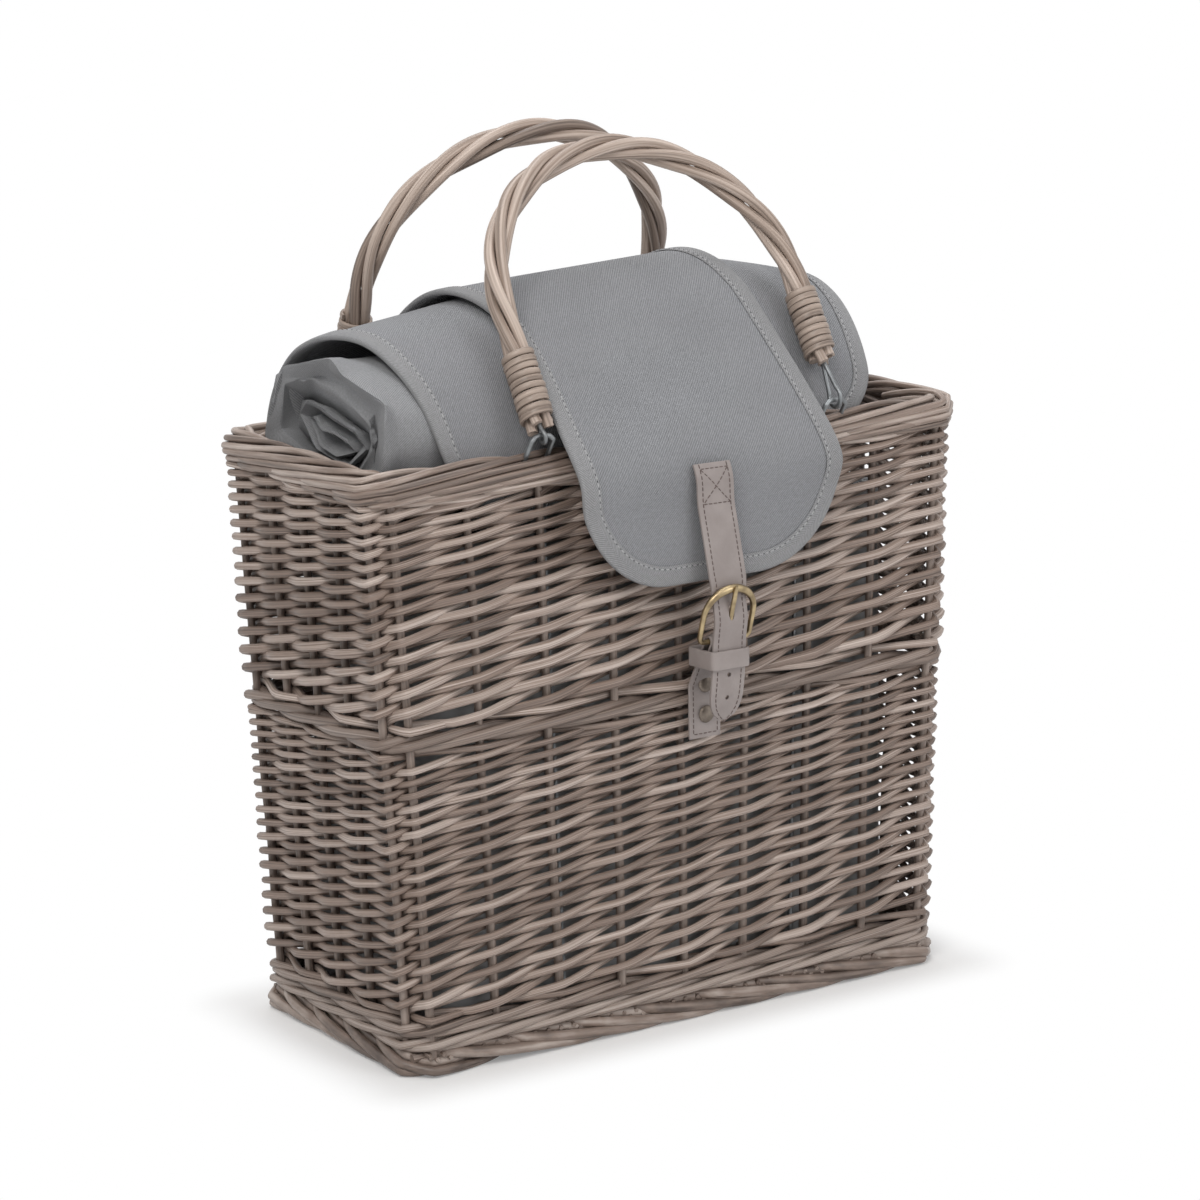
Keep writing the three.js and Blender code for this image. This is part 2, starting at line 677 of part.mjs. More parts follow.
const prongRing = BUCKLE_WIRE + PIVOT_PLAY + PRONG_RADIUS;
const prongOut = BUCKLE_WIRE + SEAT + PRONG_RADIUS;
const prongRoot = prongPoint(prongRing * 0.6, prongRing * 0.8);
const prongTip = prongPoint(BUCKLE_LENGTH + 2 * BUCKLE_WIRE, prongOut);

function strapSolid() {
  const stations = 9;
  const sewnEnd = strapTop - STRAP_SEWN;
  const line = Array.from({ length: stations + 1 }, (_, i) => {
    const height = strapTop + ((strapFlapEnd.z - strapTop) * i) / stations;
    const bow = THREE.MathUtils.smoothstep(sewnEnd - height, 0, sewnEnd - strapFlapEnd.z);
    const onFlap = flapPlace(alongForHeight(height), strapLift);
    return new THREE.Vector2(onFlap.y - STRAP_STAND_OFF * bow, height);
  });
  const tipStart = strapTip + STRAP_TIP_LENGTH;
  const steps = (from, to, count) => (
    Array.from({ length: count }, (_, i) => from + ((to - from) * i) / count));
  const tail = [...steps(BAR_HEIGHT, tipStart, 3), ...steps(tipStart, strapTip, 5), strapTip];
  for (const height of tail) {
    const share = (BAR_HEIGHT - height) / (BAR_HEIGHT - strapTip);
    line.push(new THREE.Vector2(strapY + STRAP_TAIL_LEAN * share * share, height));
  }
  const half = (i) => {
    const past = Math.max(0, tipStart - line[i].y) / STRAP_TIP_LENGTH;
    return Math.max(0.6, (STRAP_WIDTH / 2) * Math.sqrt(1 - past * past));
  };
  const across = STRAP_THICKNESS + 2 * STRAP_TAIL_LEAN;
  const slope = (prongRoot.y - prongTip.y) / (prongTip.z - prongRoot.z);
  const crossing = (y) => prongRoot.z + (prongRoot.y - y) / slope;
  const slotLow = crossing(strapY + STRAP_THICKNESS / 2) - (PRONG_RADIUS + 2 * SEAT) / slope;
  const slotHigh = crossing(strapY - STRAP_THICKNESS / 2) + (PRONG_RADIUS + 2 * SEAT) / slope;
  const slotHalf = PRONG_RADIUS + SEAT;
  const slot = box(
    new THREE.Vector3(FLAP_SHIFT - slotHalf, strapY - across, slotLow),
    new THREE.Vector3(FLAP_SHIFT + slotHalf, strapY + across, slotHigh),
  );
  const holes = STRAP_HOLE_DROPS.map((drop) => (
    drill(STRAP_HOLE, 2 * across).translate(FLAP_SHIFT, strapY, BAR_HEIGHT - drop)));
  return cut(ribbon(line, STRAP_THICKNESS, half), [slot, ...holes]);
}

// Chape: flat on the wall over its rivets, up to the bar, round it and back down inside the keeper
const chapeY = frontOfWeave - WALE_PROUD - SEAT - CHAPE_THICKNESS / 2;
const chapeRound = BUCKLE_WIRE + PIVOT_PLAY + CHAPE_THICKNESS / 2;
const rivetHeights = {
  lower: BAR_HEIGHT - RIVET_DROPS.lower,
  upper: BAR_HEIGHT - RIVET_DROPS.upper,
};
const chapeFlatTop = chapeBottom + CHAPE_FLAT;
const toBar = new THREE.Vector2(chapeY - barY, BAR_HEIGHT - chapeFlatTop);
const chapeLean = Math.atan2(toBar.x, toBar.y) - Math.asin(chapeRound / toBar.length());

function chapeSolid() {
  const line = [
    new THREE.Vector2(chapeY, chapeBottom),
    new THREE.Vector2(chapeY, chapeBottom + CHAPE_FLAT / 2),
    new THREE.Vector2(chapeY, chapeFlatTop),
  ];
  const roundSteps = 6;
  for (let i = 0; i <= roundSteps; i += 1) {
    const angle = chapeLean + (Math.PI * i) / roundSteps;
    const [out, rise] = [chapeRound * Math.cos(angle), chapeRound * Math.sin(angle)];
    line.push(new THREE.Vector2(barY + out, BAR_HEIGHT + rise));
  }
  const down = new THREE.Vector2(Math.sin(chapeLean), -Math.cos(chapeLean));
  line.push(line[line.length - 1].clone().addScaledVector(down, CHAPE_RETURN));
  const slotHalf = PRONG_RADIUS + SEAT;
  const slot = box(
    new THREE.Vector3(FLAP_SHIFT - slotHalf, barY - 2 * chapeRound, BAR_HEIGHT - 2 * chapeRound),
    new THREE.Vector3(FLAP_SHIFT + slotHalf, barY + 2 * chapeRound, BAR_HEIGHT + 2 * chapeRound),
  );
  const holes = Object.values(rivetHeights).map((height) => (
    drill(RIVET_SHANK + SEAT, 4 * CHAPE_THICKNESS).translate(FLAP_SHIFT, chapeY, height)));
  return cut(ribbon(line, CHAPE_THICKNESS, () => CHAPE_WIDTH / 2), [slot, ...holes]);
}

function keeperSolid() {
  const top = BAR_HEIGHT - prongRing - PRONG_RADIUS - KEEPER_CLEAR;
  const bottom = top - KEEPER_HEIGHT;
  const backAt = chapeY - Math.tan(chapeLean) * (bottom - chapeFlatTop)
    + CHAPE_THICKNESS / 2 / Math.cos(chapeLean) + SEAT;
  const frontAt = strapY - STRAP_THICKNESS / 2 - SEAT;
  const half = STRAP_WIDTH / 2 + SEAT;
  const shell = new THREE.Vector3(KEEPER_THICKNESS, KEEPER_THICKNESS, 0);
  const low = new THREE.Vector3(FLAP_SHIFT - half, frontAt, bottom);
  const high = new THREE.Vector3(FLAP_SHIFT + half, backAt, top);
  const through = new THREE.Vector3(0, 0, KEEPER_THICKNESS);
  const outside = box(low.clone().sub(shell), high.clone().add(shell));
  return cut(outside, [box(low.clone().sub(through), high.clone().add(through))]);
}

function rivetSolid(height) {
  const headFace = chapeY - CHAPE_THICKNESS / 2 - SEAT;
  const inside = frontOfWeave + WALL;
  const shankEnd = inside + SEAT + BURR_THICKNESS + SEAT;
  const profile = [new THREE.Vector2(0, headFace - RIVET_RISE)];
  const domeSteps = 4;
  for (let i = 1; i <= domeSteps; i += 1) {
    const angle = ((Math.PI / 2) * i) / domeSteps;
    profile.push(new THREE.Vector2(RIVET_DOME * Math.sin(angle), headFace - RIVET_RISE * Math.cos(angle)));
  }
  profile.push(new THREE.Vector2(RIVET_SHANK, headFace));
  profile.push(new THREE.Vector2(RIVET_SHANK, shankEnd));
  profile.push(new THREE.Vector2(0, shankEnd));
  return new THREE.LatheGeometry(profile, 10).translate(FLAP_SHIFT, 0, height);
}

function burrSolid(height) {
  const near = frontOfWeave + WALL + SEAT;
  const bore = RIVET_SHANK + SEAT;
  const profile = [
    new THREE.Vector2(bore, near), new THREE.Vector2(BURR_RADIUS, near),
    new THREE.Vector2(BURR_RADIUS, near + BURR_THICKNESS), new THREE.Vector2(bore, near + BURR_THICKNESS),
    new THREE.Vector2(bore, near),
  ];
  return new THREE.LatheGeometry(profile, 10).translate(FLAP_SHIFT, 0, height);
}

function rivetHole(height) {
  const reach = 2 * WALL;
  return drill(RIVET_SHANK + SEAT, reach).translate(FLAP_SHIFT, frontOfWeave + WALL / 2, height);
}

// Buckle: a wire frame with a straight bar and a round bow, tilted over the strap
function buckleFrame() {
  const half = BUCKLE_WIDTH / 2 - BUCKLE_WIRE;
  const corner = 3.5;
  const bowRise = BUCKLE_LENGTH * 0.5;
  const path = new THREE.Path();
  path.moveTo(0, 0);
  path.lineTo(half - corner, 0);
  path.absarc(half - corner, corner, corner, -Math.PI / 2, 0);
  path.absellipse(0, BUCKLE_LENGTH - bowRise, half, bowRise, 0, Math.PI);
  path.absarc(-half + corner, corner, corner, Math.PI, 1.5 * Math.PI);
  path.closePath();
  const stations = 24;
  const sides = 5;
  const line = path.getSpacedPoints(stations).slice(0, stations);
  return ringSolid(stations, sides, (station, side) => {
    const ahead = line[(station + 1) % stations];
    const behind = line[(station + stations - 1) % stations];
    const along = ahead.clone().sub(behind).normalize();
    const angle = (2 * Math.PI * side) / sides;
    const inPlane = BUCKLE_WIRE * Math.cos(angle);
    const point = prongPoint(line[station].y - along.x * inPlane, BUCKLE_WIRE * Math.sin(angle));
    return point.setX(FLAP_SHIFT + line[station].x + along.y * inPlane);
  });
}

function bucklePin() {
  const ring = new THREE.TorusGeometry(prongRing, PRONG_RADIUS, 5, 10).rotateY(Math.PI / 2);
  ring.translate(FLAP_SHIFT, barY, BAR_HEIGHT);
  const shank = wireTube(new THREE.LineCurve3(prongRoot, prongTip), PRONG_RADIUS * 0.98, 1, 6);
  return join(ring, shank);
}

// Handles, drawn upright over their pivot line and then leaned in

const rodRing = (2 * HANDLE_ROD + HANDLE_ROD_GAP) / (2 * Math.sin(Math.PI / HANDLE_RODS));
const bundle = rodRing + HANDLE_ROD;
const pivotY = frontOfWeave - PIVOT_OUT;
const pivotZ = rimTop + PIVOT_RISE;
const archLength = Math.PI * ((HANDLE_SPAN / 2 + HANDLE_ARCH) / 2);
const handleRise = HANDLE_LEG_TOP + HANDLE_ARCH;
const frontLean = Math.asin((FRONT_HANDLE_TOP - pivotY) / handleRise);
const rearLean = Math.asin((-REAR_HANDLE_TOP - pivotY) / handleRise);

// Middle line of the bundle, from the lower end of one leg to that of the other
function handlePlace(share, [firstStart, lastStart]) {
  const half = HANDLE_SPAN / 2;
  const firstLeg = HANDLE_LEG_TOP - firstStart;
  const lastLeg = HANDLE_LEG_TOP - lastStart;
  const left = (1 - share) * (firstLeg + archLength + lastLeg);
  const run = firstLeg + archLength + lastLeg - left;
  if (run < firstLeg) {
    return { point: new THREE.Vector3(-half, 0, firstStart + run), side: new THREE.Vector3(-1, 0, 0) };
  }
  if (left < lastLeg) {
    return { point: new THREE.Vector3(half, 0, lastStart + left), side: new THREE.Vector3(1, 0, 0) };
  }
  const angle = (Math.PI * (left - lastLeg)) / archLength;
  const point = new THREE.Vector3(half * Math.cos(angle), 0, HANDLE_LEG_TOP + HANDLE_ARCH * Math.sin(angle));
  const side = new THREE.Vector3(Math.cos(angle) / half, 0, Math.sin(angle) / HANDLE_ARCH).normalize();
  return { point, side };
}

class TwistedRod extends THREE.Curve {
  constructor(phase, starts) {
    super();
    this.phase = phase;
    this.starts = starts;
  }

  getPoint(share, target = new THREE.Vector3()) {
    const { point, side } = handlePlace(share, this.starts);
    const angle = this.phase + 2 * Math.PI * HANDLE_TWISTS * share;
    return target.copy(point)
      .addScaledVector(side, rodRing * Math.cos(angle))
      .add(new THREE.Vector3(0, rodRing * Math.sin(angle), 0));
  }
}

// Whipping: one split rod wound up the leg, with a short straight end at each turn's finish
const whippingSteps = 8;
const whippingRadius = (bundle + SEAT + WHIPPING_ROD) / Math.cos(Math.PI / whippingSteps);

function whippingLine() {
  const steps = WHIPPING_TURNS * whippingSteps;
  return Array.from({ length: steps + 1 }, (_, i) => {
    const angle = (2 * Math.PI * i) / whippingSteps;
    const height = WHIPPING_RISE + (WHIPPING_PITCH * i) / whippingSteps;
    return new THREE.Vector3(whippingRadius * Math.cos(angle), whippingRadius * Math.sin(angle), height);
  });
}

function whippingSolid(legX, start) {
  const sides = 4;
  const rings = whippingLine().map((point) => {
    const outward = new THREE.Vector3(point.x, point.y, 0).normalize();
    return Array.from({ length: sides }, (_, j) => {
      const angle = (2 * Math.PI * j) / sides;
      return point.clone()
        .addScaledVector(outward, WHIPPING_ROD * Math.cos(angle))
        .add(new THREE.Vector3(legX, 0, start + WHIPPING_ROD * Math.sin(angle)));
    });
  });
  return tubeSolid(rings);
}

function leastGapOfWhipping() {
  const line = whippingLine();
  let least = Infinity;
  for (let i = 0; i < line.length; i += 1) {
    for (let j = i + whippingSteps / 2; j < line.length; j += 1) {
      least = Math.min(least, line[i].distanceTo(line[j]));
    }
  }
  return least - 2 * WHIPPING_ROD;
}

const eyeRing = 2 * WIRE + EYE_PLAY;

function eyeSolid(legX, start) {
  const ring = new THREE.TorusGeometry(eyeRing, WIRE, 6, 12).rotateY(Math.PI / 2);
  const top = start + EYE_STEM;
  const stem = new THREE.CylinderGeometry(WIRE, WIRE, top - eyeRing, 6);
  stem.rotateX(Math.PI / 2).translate(0, 0, (top + eyeRing) / 2);
  return join(ring, stem).translate(legX, 0, 0);
}

function handle(side, shift, lean) {
  const group = new THREE.Group();
  const turned = side === 'rear';
  const starts = HANDLE_LEG_STARTS[side].slice();
  if (turned) starts.reverse();
  const rodSteps = 24;
  for (let i = 0; i < HANDLE_RODS; i += 1) {
    const rod = new TwistedRod((2 * Math.PI * (i + 0.5)) / HANDLE_RODS, starts);
    group.add(mesh(`${side}_handle_rod_${i + 1}`, wireTube(rod, HANDLE_ROD, rodSteps, 6), willow));
  }
  for (const [i, start] of starts.entries()) {
    const end = (i === 0) === turned ? 'right' : 'left';
    const legX = (i - 0.5) * HANDLE_SPAN;
    group.add(mesh(`${side}_handle_whipping_${end}`, whippingSolid(legX, start), splitWillow));
    group.add(mesh(`${side}_handle_eye_${end}`, eyeSolid(legX, start), zincWire));
  }
  group.rotation.x = -lean;
  group.position.set(turned ? -shift : shift, pivotY, pivotZ);
  const facing = new THREE.Group();
  facing.add(group);
  facing.rotation.z = turned ? Math.PI : 0;
  return facing;
}

// Anchors: an inverted U whose crown is the pivot, one leg short and one down to the base

const anchorPlaces = [
  ['front_left_anchor', FRONT_HANDLE_SHIFT - HANDLE_SPAN / 2, pivotY],
  ['front_right_anchor', FRONT_HANDLE_SHIFT + HANDLE_SPAN / 2, pivotY],
  ['rear_left_anchor', REAR_HANDLE_SHIFT - HANDLE_SPAN / 2, -pivotY],
  ['rear_right_anchor', REAR_HANDLE_SHIFT + HANDLE_SPAN / 2, -pivotY],
].map(([name, x, y]) => ({ name, x, y }));
const anchorFoot = baseTop + SEAT;

// Line of an anchor from the foot of its long leg over the crown, longer at both ends by extra
function anchorLine({ x, y }, extra) {
  const half = ANCHOR_SPAN / 2;
  const round = 5;
  const longSide = x < 0 ? -1 : 1;
  const stakeY = Math.sign(y) * (DEPTH / 2 - (rodRelief + WALL) / 2); // behind the rods
  const at = (side, back, height) => new THREE.Vector3(x + longSide * side, back, height);
  const leg = (side, foot) => [
    at(side, stakeY, foot - extra), at(side, stakeY, rimBottom - SEAT),
    at(side, y, rimTop), at(side, y, pivotZ - round),
  ];
  const crownEnd = (side) => [30, 60].map((degrees) => {
    const angle = THREE.MathUtils.degToRad(degrees);
    const sideways = Math.abs(side) - round + round * Math.cos(angle);
    return at(Math.sign(side) * sideways, y, pivotZ - round + round * Math.sin(angle));
  });
  return [
    ...leg(half, anchorFoot), ...crownEnd(half), at(half - round, y, pivotZ),
    at(round - half, y, pivotZ), ...crownEnd(-half).reverse(),
    ...leg(-half, pivotZ - ANCHOR_SHORT_LEG).reverse(),
  ];
}

function anchorSolid(place, radius, extra = 0) {
  const line = anchorLine(place, extra);
  const sides = 6;
  const rings = line.map((point, i) => {
    const ahead = line[Math.min(i + 1, line.length - 1)];
    const behind = line[Math.max(i - 1, 0)];
    const along = ahead.clone().sub(behind).normalize();
    const across = new THREE.Vector3(along.z, 0, -along.x).normalize();
    const over = along.clone().cross(across);
    return Array.from({ length: sides }, (_, j) => {
      const angle = (2 * Math.PI * j) / sides;
      return point.clone()
        .addScaledVector(across, radius * Math.cos(angle))
        .addScaledVector(over, radius * Math.sin(angle));
    });
  });
  return tubeSolid(rings);
}

// Band of the wall with room for the anchors' legs and the rivets' shanks
function walledBand(geometry) {
  const legs = anchorPlaces.map((place) => anchorSolid(place, WIRE + SEAT, 2 * SEAT));
  return cut(geometry, [...legs, ...Object.values(rivetHeights).map(rivetHole)]);
}

// Assembly

const basket = new THREE.Group();
basket.name = 'chiller_basket';

basket.add(
  mesh('base_panel', basePanel(), darkWillow),
  mesh('foot_border', ropeRing({
    bottom: -1, height: FOOT_HEIGHT + 1, width: FOOT_WIDTH, proud: FOOT_PROUD, rods: 3, floor: 0,
  }), willow),
  mesh('bottom_wale', walledBand(ropeRing({
    bottom: bottomWaleBottom, height: BOTTOM_WALE_HEIGHT, width: WALE_WIDTH, proud: WALE_PROUD, rods: 3,
  })), darkWillow),
  mesh('lower_weave', walledBand(weaveBand(lowerBottom, lowerTop, LOWER_WEAVE)), willow),
  mesh('middle_wale', walledBand(ropeRing({
    bottom: middleWaleBottom, height: MIDDLE_WALE_HEIGHT, width: WALE_WIDTH, proud: WALE_PROUD, rods: 3,
  })), darkWillow),
  mesh('upper_weave', walledBand(weaveBand(upperBottom, upperTop, UPPER_WEAVE)), willow),
  mesh('rim_border', walledBand(ropeRing({
    bottom: rimBottom, height: RIM_HEIGHT, width: RIM_WIDTH, proud: RIM_PROUD, rods: 3,
  })), willow),
);

const bagBottom = baseTop + SEAT;
basket.add(
  mesh('cooler_shell', openBag(bagLength, bagDepth, BAG_CORNER, bagBottom, BAG_WALL), greyCloth),
  mesh('cooler_lining', openBag(
    bagLength - 2 * (BAG_WALL + SEAT), bagDepth - 2 * (BAG_WALL + SEAT), BAG_CORNER - BAG_WALL - SEAT,
    bagBottom + BAG_WALL + SEAT, LINING), foil),
  mesh('rolled_neck', alongX(bandShape(neckProfile(), NECK_CLOTH), NECK_LEFT, NECK_RIGHT), greyCloth),
);

const cover = coverPieces();
const flap = flapPieces();
basket.add(
  mesh('lid_cover', cover.cloth, greyCloth),
  mesh('lid_cover_binding', cover.tape, greyTape),
  mesh('flap_top', flap.top, greyCloth),
  mesh('flap_top_binding_left', flap.topTapeLeft, greyTape),
  mesh('flap_top_binding_right', flap.topTapeRight, greyTape),
  mesh('flap_front', flap.front, greyCloth),
  mesh('flap_front_binding', flap.frontTape, greyTape),
  mesh('strap', strapSolid(), taupeLeather),
);

basket.add(
  mesh('chape', chapeSolid(), taupeLeather),
  mesh('keeper', keeperSolid(), taupeLeather),
  mesh('buckle_frame', buckleFrame(), agedBrass),
  mesh('buckle_prong', bucklePin(), agedBrass),
);
for (const [place, height] of Object.entries(rivetHeights)) {
  basket.add(mesh(`rivet_${place}`, rivetSolid(height), agedBrass));
  basket.add(mesh(`burr_${place}`, burrSolid(height), agedBrass));
}

basket.add(handle('front', FRONT_HANDLE_SHIFT, frontLean));
basket.add(handle('rear', REAR_HANDLE_SHIFT, rearLean));
for (const place of anchorPlaces) basket.add(mesh(place.name, anchorSolid(place, WIRE), zincWire));

// The buckle reaches further forward than anything at the back, so the whole is moved to its middle
const reach = new THREE.Box3().setFromObject(basket);
basket.position.y = -(reach.min.y + reach.max.y) / 2;

const fold = flapPlace(flapFold, FLAP_CLOTH / 2 + 2 * BINDING_PROUD); // on the outer face of the tape
console.log('whipping gap', leastGapOfWhipping().toFixed(2));
console.log('shift', basket.position.y.toFixed(3), 'box', reach.min.toArray(), reach.max.toArray());
console.log('handle pivots', pivotY, -pivotY, pivotZ);
console.log('flap fold', fold.y, fold.z, 'buckle bar', barY, BAR_HEIGHT);

export default basket;
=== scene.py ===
import json
import random
from math import asin, atan2, cos, exp, pi, radians, sin, sqrt

import bmesh
import bpy
from mathutils import Matrix, Quaternion, Vector, noise


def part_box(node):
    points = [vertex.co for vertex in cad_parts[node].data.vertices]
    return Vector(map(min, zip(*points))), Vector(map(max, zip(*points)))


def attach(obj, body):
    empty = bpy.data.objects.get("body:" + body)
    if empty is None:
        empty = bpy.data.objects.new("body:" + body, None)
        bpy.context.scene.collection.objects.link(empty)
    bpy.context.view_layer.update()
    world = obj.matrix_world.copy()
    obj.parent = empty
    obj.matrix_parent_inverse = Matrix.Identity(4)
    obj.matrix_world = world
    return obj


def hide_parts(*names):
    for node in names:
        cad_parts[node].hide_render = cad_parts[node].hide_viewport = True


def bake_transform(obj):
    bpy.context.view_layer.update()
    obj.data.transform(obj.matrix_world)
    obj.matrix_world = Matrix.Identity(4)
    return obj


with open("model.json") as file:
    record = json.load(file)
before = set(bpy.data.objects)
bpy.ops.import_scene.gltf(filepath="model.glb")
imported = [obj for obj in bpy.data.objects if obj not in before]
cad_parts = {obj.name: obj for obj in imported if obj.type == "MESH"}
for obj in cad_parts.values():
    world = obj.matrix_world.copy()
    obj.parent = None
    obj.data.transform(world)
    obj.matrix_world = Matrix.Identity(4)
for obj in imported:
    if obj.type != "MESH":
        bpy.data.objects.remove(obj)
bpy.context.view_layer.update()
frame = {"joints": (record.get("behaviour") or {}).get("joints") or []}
scene = bpy.context.scene
mm = 0.001  # settings are in millimetres, meshes in metres


# Places taken from the frame

def nodeBox(node):
    low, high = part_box(node)
    return low / mm, high / mm


def jointPlace(name):
    joint = next(j for j in frame["joints"] if j["name"] == name)
    return Vector(joint["pos_m"]) / mm


def clamp(value, low=0.0, high=1.0):
    return max(low, min(high, value))


def between(start, end, share):
    return start + (end - start) * share


def smoothStep(low, high, value):
    share = clamp((value - low) / (high - low))
    return share * share * (3 - 2 * share)


def addObject(name, data):
    made = bpy.data.objects.new(name, data)
    scene.collection.objects.link(made)
    return made


def meshObject(name, bm):
    mesh = bpy.data.meshes.new(name)
    bm.to_mesh(mesh)
    bm.free()
    return addObject(name, mesh)


# Camera, light and floor

cameraView = {
    "place": Vector((-1148.49, -1733.35, 681.00)),
    "target": Vector((0.953, 15.749, 239.156)),
    "roll": -0.0188,
    "lens": 106.75,
    "sensor": 36.0,
    "farthest": 100000.0,
}
studio = {
    "worldStrength": 0.42,
    "white": (1.0, 1.0, 1.0, 1.0),
    "floorSize": 30000.0,
    "floorColour": (0.86, 0.86, 0.86, 1.0),
    "floorGlow": (0.2, 1.0),  # share of plain white that the camera sees, under the basket and far off
    "floorReach": 48.0,  # distance from the foot at which that share is full
    # name, place, size, power, colour
    "lamps": [
        ("keyLamp", (-1500.0, -1300.0, 2100.0), 1300.0, 33.0, (1.0, 0.98, 0.95)),
        ("frontLamp", (900.0, -2200.0, 1200.0), 1500.0, 15.5, (1.0, 1.0, 1.0)),
        ("topLamp", (200.0, 500.0, 2300.0), 1600.0, 21.0, (0.97, 0.98, 1.0)),
    ],
}


def aimAtBasket(made, place, roll=0.0):
    look = (cameraView["target"] - place).to_track_quat("-Z", "Y")
    made.rotation_mode = "QUATERNION"
    made.rotation_quaternion = look @ Quaternion((0, 0, 1), roll)
    made.location = place * mm


def makeCamera():
    data = bpy.data.cameras.new("photoCamera")
    data.lens = cameraView["lens"]
    data.sensor_width = cameraView["sensor"]
    data.clip_end = cameraView["farthest"] * mm
    scene.camera = addObject("photoCamera", data)
    aimAtBasket(scene.camera, cameraView["place"], cameraView["roll"])


def addNode(tree, kind, inputs=None, **settings):
    node = tree.nodes.new("ShaderNode" + kind)
    for title, value in settings.items():
        setattr(node, title, value)
    for title, value in (inputs or {}).items():
        if isinstance(value, bpy.types.NodeSocket):
            tree.links.new(value, node.inputs[title])
        else:
            node.inputs[title].default_value = value
    return node


# First output of a new node
def shade(tree, kind, inputs=None, **settings):
    return addNode(tree, kind, inputs, **settings).outputs[0]


def mathNode(tree, operation, first, second=0.0, third=0.0):
    return shade(tree, "Math", {0: first, 1: second, 2: third}, operation=operation)


def vectorNode(tree, operation, first, second=(0, 0, 0)):
    return shade(tree, "VectorMath", {0: first, 1: second}, operation=operation)


def mixColour(tree, share, first, second, blend="MIX"):
    mix = addNode(tree, "Mix", {0: share, 6: first, 7: second}, data_type="RGBA", blend_type=blend)
    return mix.outputs[2]


def mapRange(tree, value, low, high):
    return shade(tree, "MapRange", {"Value": value, "From Min": low, "From Max": high})


def seenStraight(tree):
    rays = addNode(tree, "LightPath").outputs
    shine = mathNode(tree, "MAXIMUM", rays["Is Camera Ray"], rays["Is Glossy Ray"])
    return mathNode(tree, "MAXIMUM", shine, rays["Is Transmission Ray"])


def makeWorld():
    world = bpy.data.worlds.new("studioWorld")
    scene.world = world
    world.use_nodes = True
    tree = world.node_tree
    tree.nodes.clear()
    soft = shade(tree, "Background", {"Color": studio["white"], "Strength": studio["worldStrength"]})
    plain = shade(tree, "Background", {"Color": studio["white"], "Strength": 1.0})
    mix = shade(tree, "MixShader", {0: seenStraight(tree), 1: soft, 2: plain})
    addNode(tree, "OutputWorld", {"Surface": mix})


def makeFloor():
    bm = bmesh.new()
    bmesh.ops.create_grid(bm, x_segments=1, y_segments=1, size=studio["floorSize"] * mm / 2)
    floor = meshObject("studioFloor", bm)
    material = bpy.data.materials.new("studioFloor")
    material.use_nodes = True
    tree = material.node_tree
    tree.nodes.clear()
    paint = shade(tree, "BsdfDiffuse", {"Color": studio["floorColour"]})
    glow = shade(tree, "Emission", {"Color": studio["white"], "Strength": 1.0})
    place = addNode(tree, "TexCoord").outputs["Object"]
    low, high = nodeBox("foot_border")
    fromMiddle = vectorNode(tree, "ABSOLUTE", vectorNode(tree, "SUBTRACT", place, (low + high) * mm / 2))
    past = vectorNode(tree, "MAXIMUM", vectorNode(tree, "SUBTRACT", fromMiddle, (high - low) * mm / 2))
    away = addNode(tree, "VectorMath", {0: past}, operation="LENGTH").outputs["Value"]
    under, whole = studio["floorGlow"]
    rise = shade(tree, "MapRange", {"Value": away, "From Max": studio["floorReach"] * mm, "To Min": under,
                                    "To Max": whole}, interpolation_type="SMOOTHSTEP")
    share = mathNode(tree, "MULTIPLY", seenStraight(tree), rise)
    mix = shade(tree, "MixShader", {0: share, 1: paint, 2: glow})
    addNode(tree, "OutputMaterial", {"Surface": mix})
    floor.data.materials.append(material)


def makeLamps():
    for name, place, size, power, colour in studio["lamps"]:
        data = bpy.data.lights.new(name, "AREA")
        data.shape = "DISK"
        data.size = size * mm
        data.energy = power
        data.color = colour
        aimAtBasket(addObject(name, data), Vector(place))


scene.view_settings.view_transform = "Standard"
makeCamera()
makeWorld()
makeFloor()
makeLamps()
print("camera, floor and lamps set")


# Materials

def newMaterial(name):
    material = bpy.data.materials.new(name)
    material.use_nodes = True
    tree = material.node_tree
    return material, tree, tree.nodes["Principled BSDF"]


# Node group that puts out a colour, a roughness and a height for a bump
def newGroup(name, inputs):
    group = bpy.data.node_groups.new(name, "ShaderNodeTree")
    outputs = {"Color": "Color", "Roughness": "Float", "Height": "Float"}
    for way, sockets in (("INPUT", inputs), ("OUTPUT", outputs)):
        for title, kind in sockets.items():
            group.interface.new_socket(name=title, in_out=way, socket_type="NodeSocket" + kind)
    return group, group.nodes.new("NodeGroupInput").outputs, group.nodes.new("NodeGroupOutput").inputs


def groupMaterial(name, group, values, bump, specular):
    material, tree, shader = newMaterial(name)
    look = addNode(tree, "Group", values, node_tree=group).outputs
    strength, depth = bump
    normal = shade(tree, "Bump", {"Strength": strength, "Distance": depth * mm, "Height": look["Height"]})
    tree.links.new(look["Color"], shader.inputs["Base Color"])
    tree.links.new(look["Roughness"], shader.inputs["Roughness"])
    tree.links.new(normal, shader.inputs["Normal"])
    shader.inputs["Specular IOR Level"].default_value = specular
    return material, shader


# Bark grain that runs along each rod; "tone" and "run" are set on the rods when they are made
barkGrain = {
    "streak": (9.0, 26.0),  # waves round a rod, waves to a metre along it
    "mottle": (1.6, 34.0),
    "knots": (2.2, 42.0),
    "seedSpread": 91.0,  # sets the patterns of the rods apart
    "knotSize": (0.13, 0.05),  # from its edge to where it is full
    "knotColour": (0.035, 0.026, 0.02, 1.0),
    "knotDepth": 0.8,
    "mottleShare": 0.9,
    "toneShare": 0.42,
    "centre": 1.16,  # level of an average rod
    "roughness": (0.3, 0.3),  # what the streaks add, least
    "bump": (0.35, 0.6),
    "specular": 0.45,
}


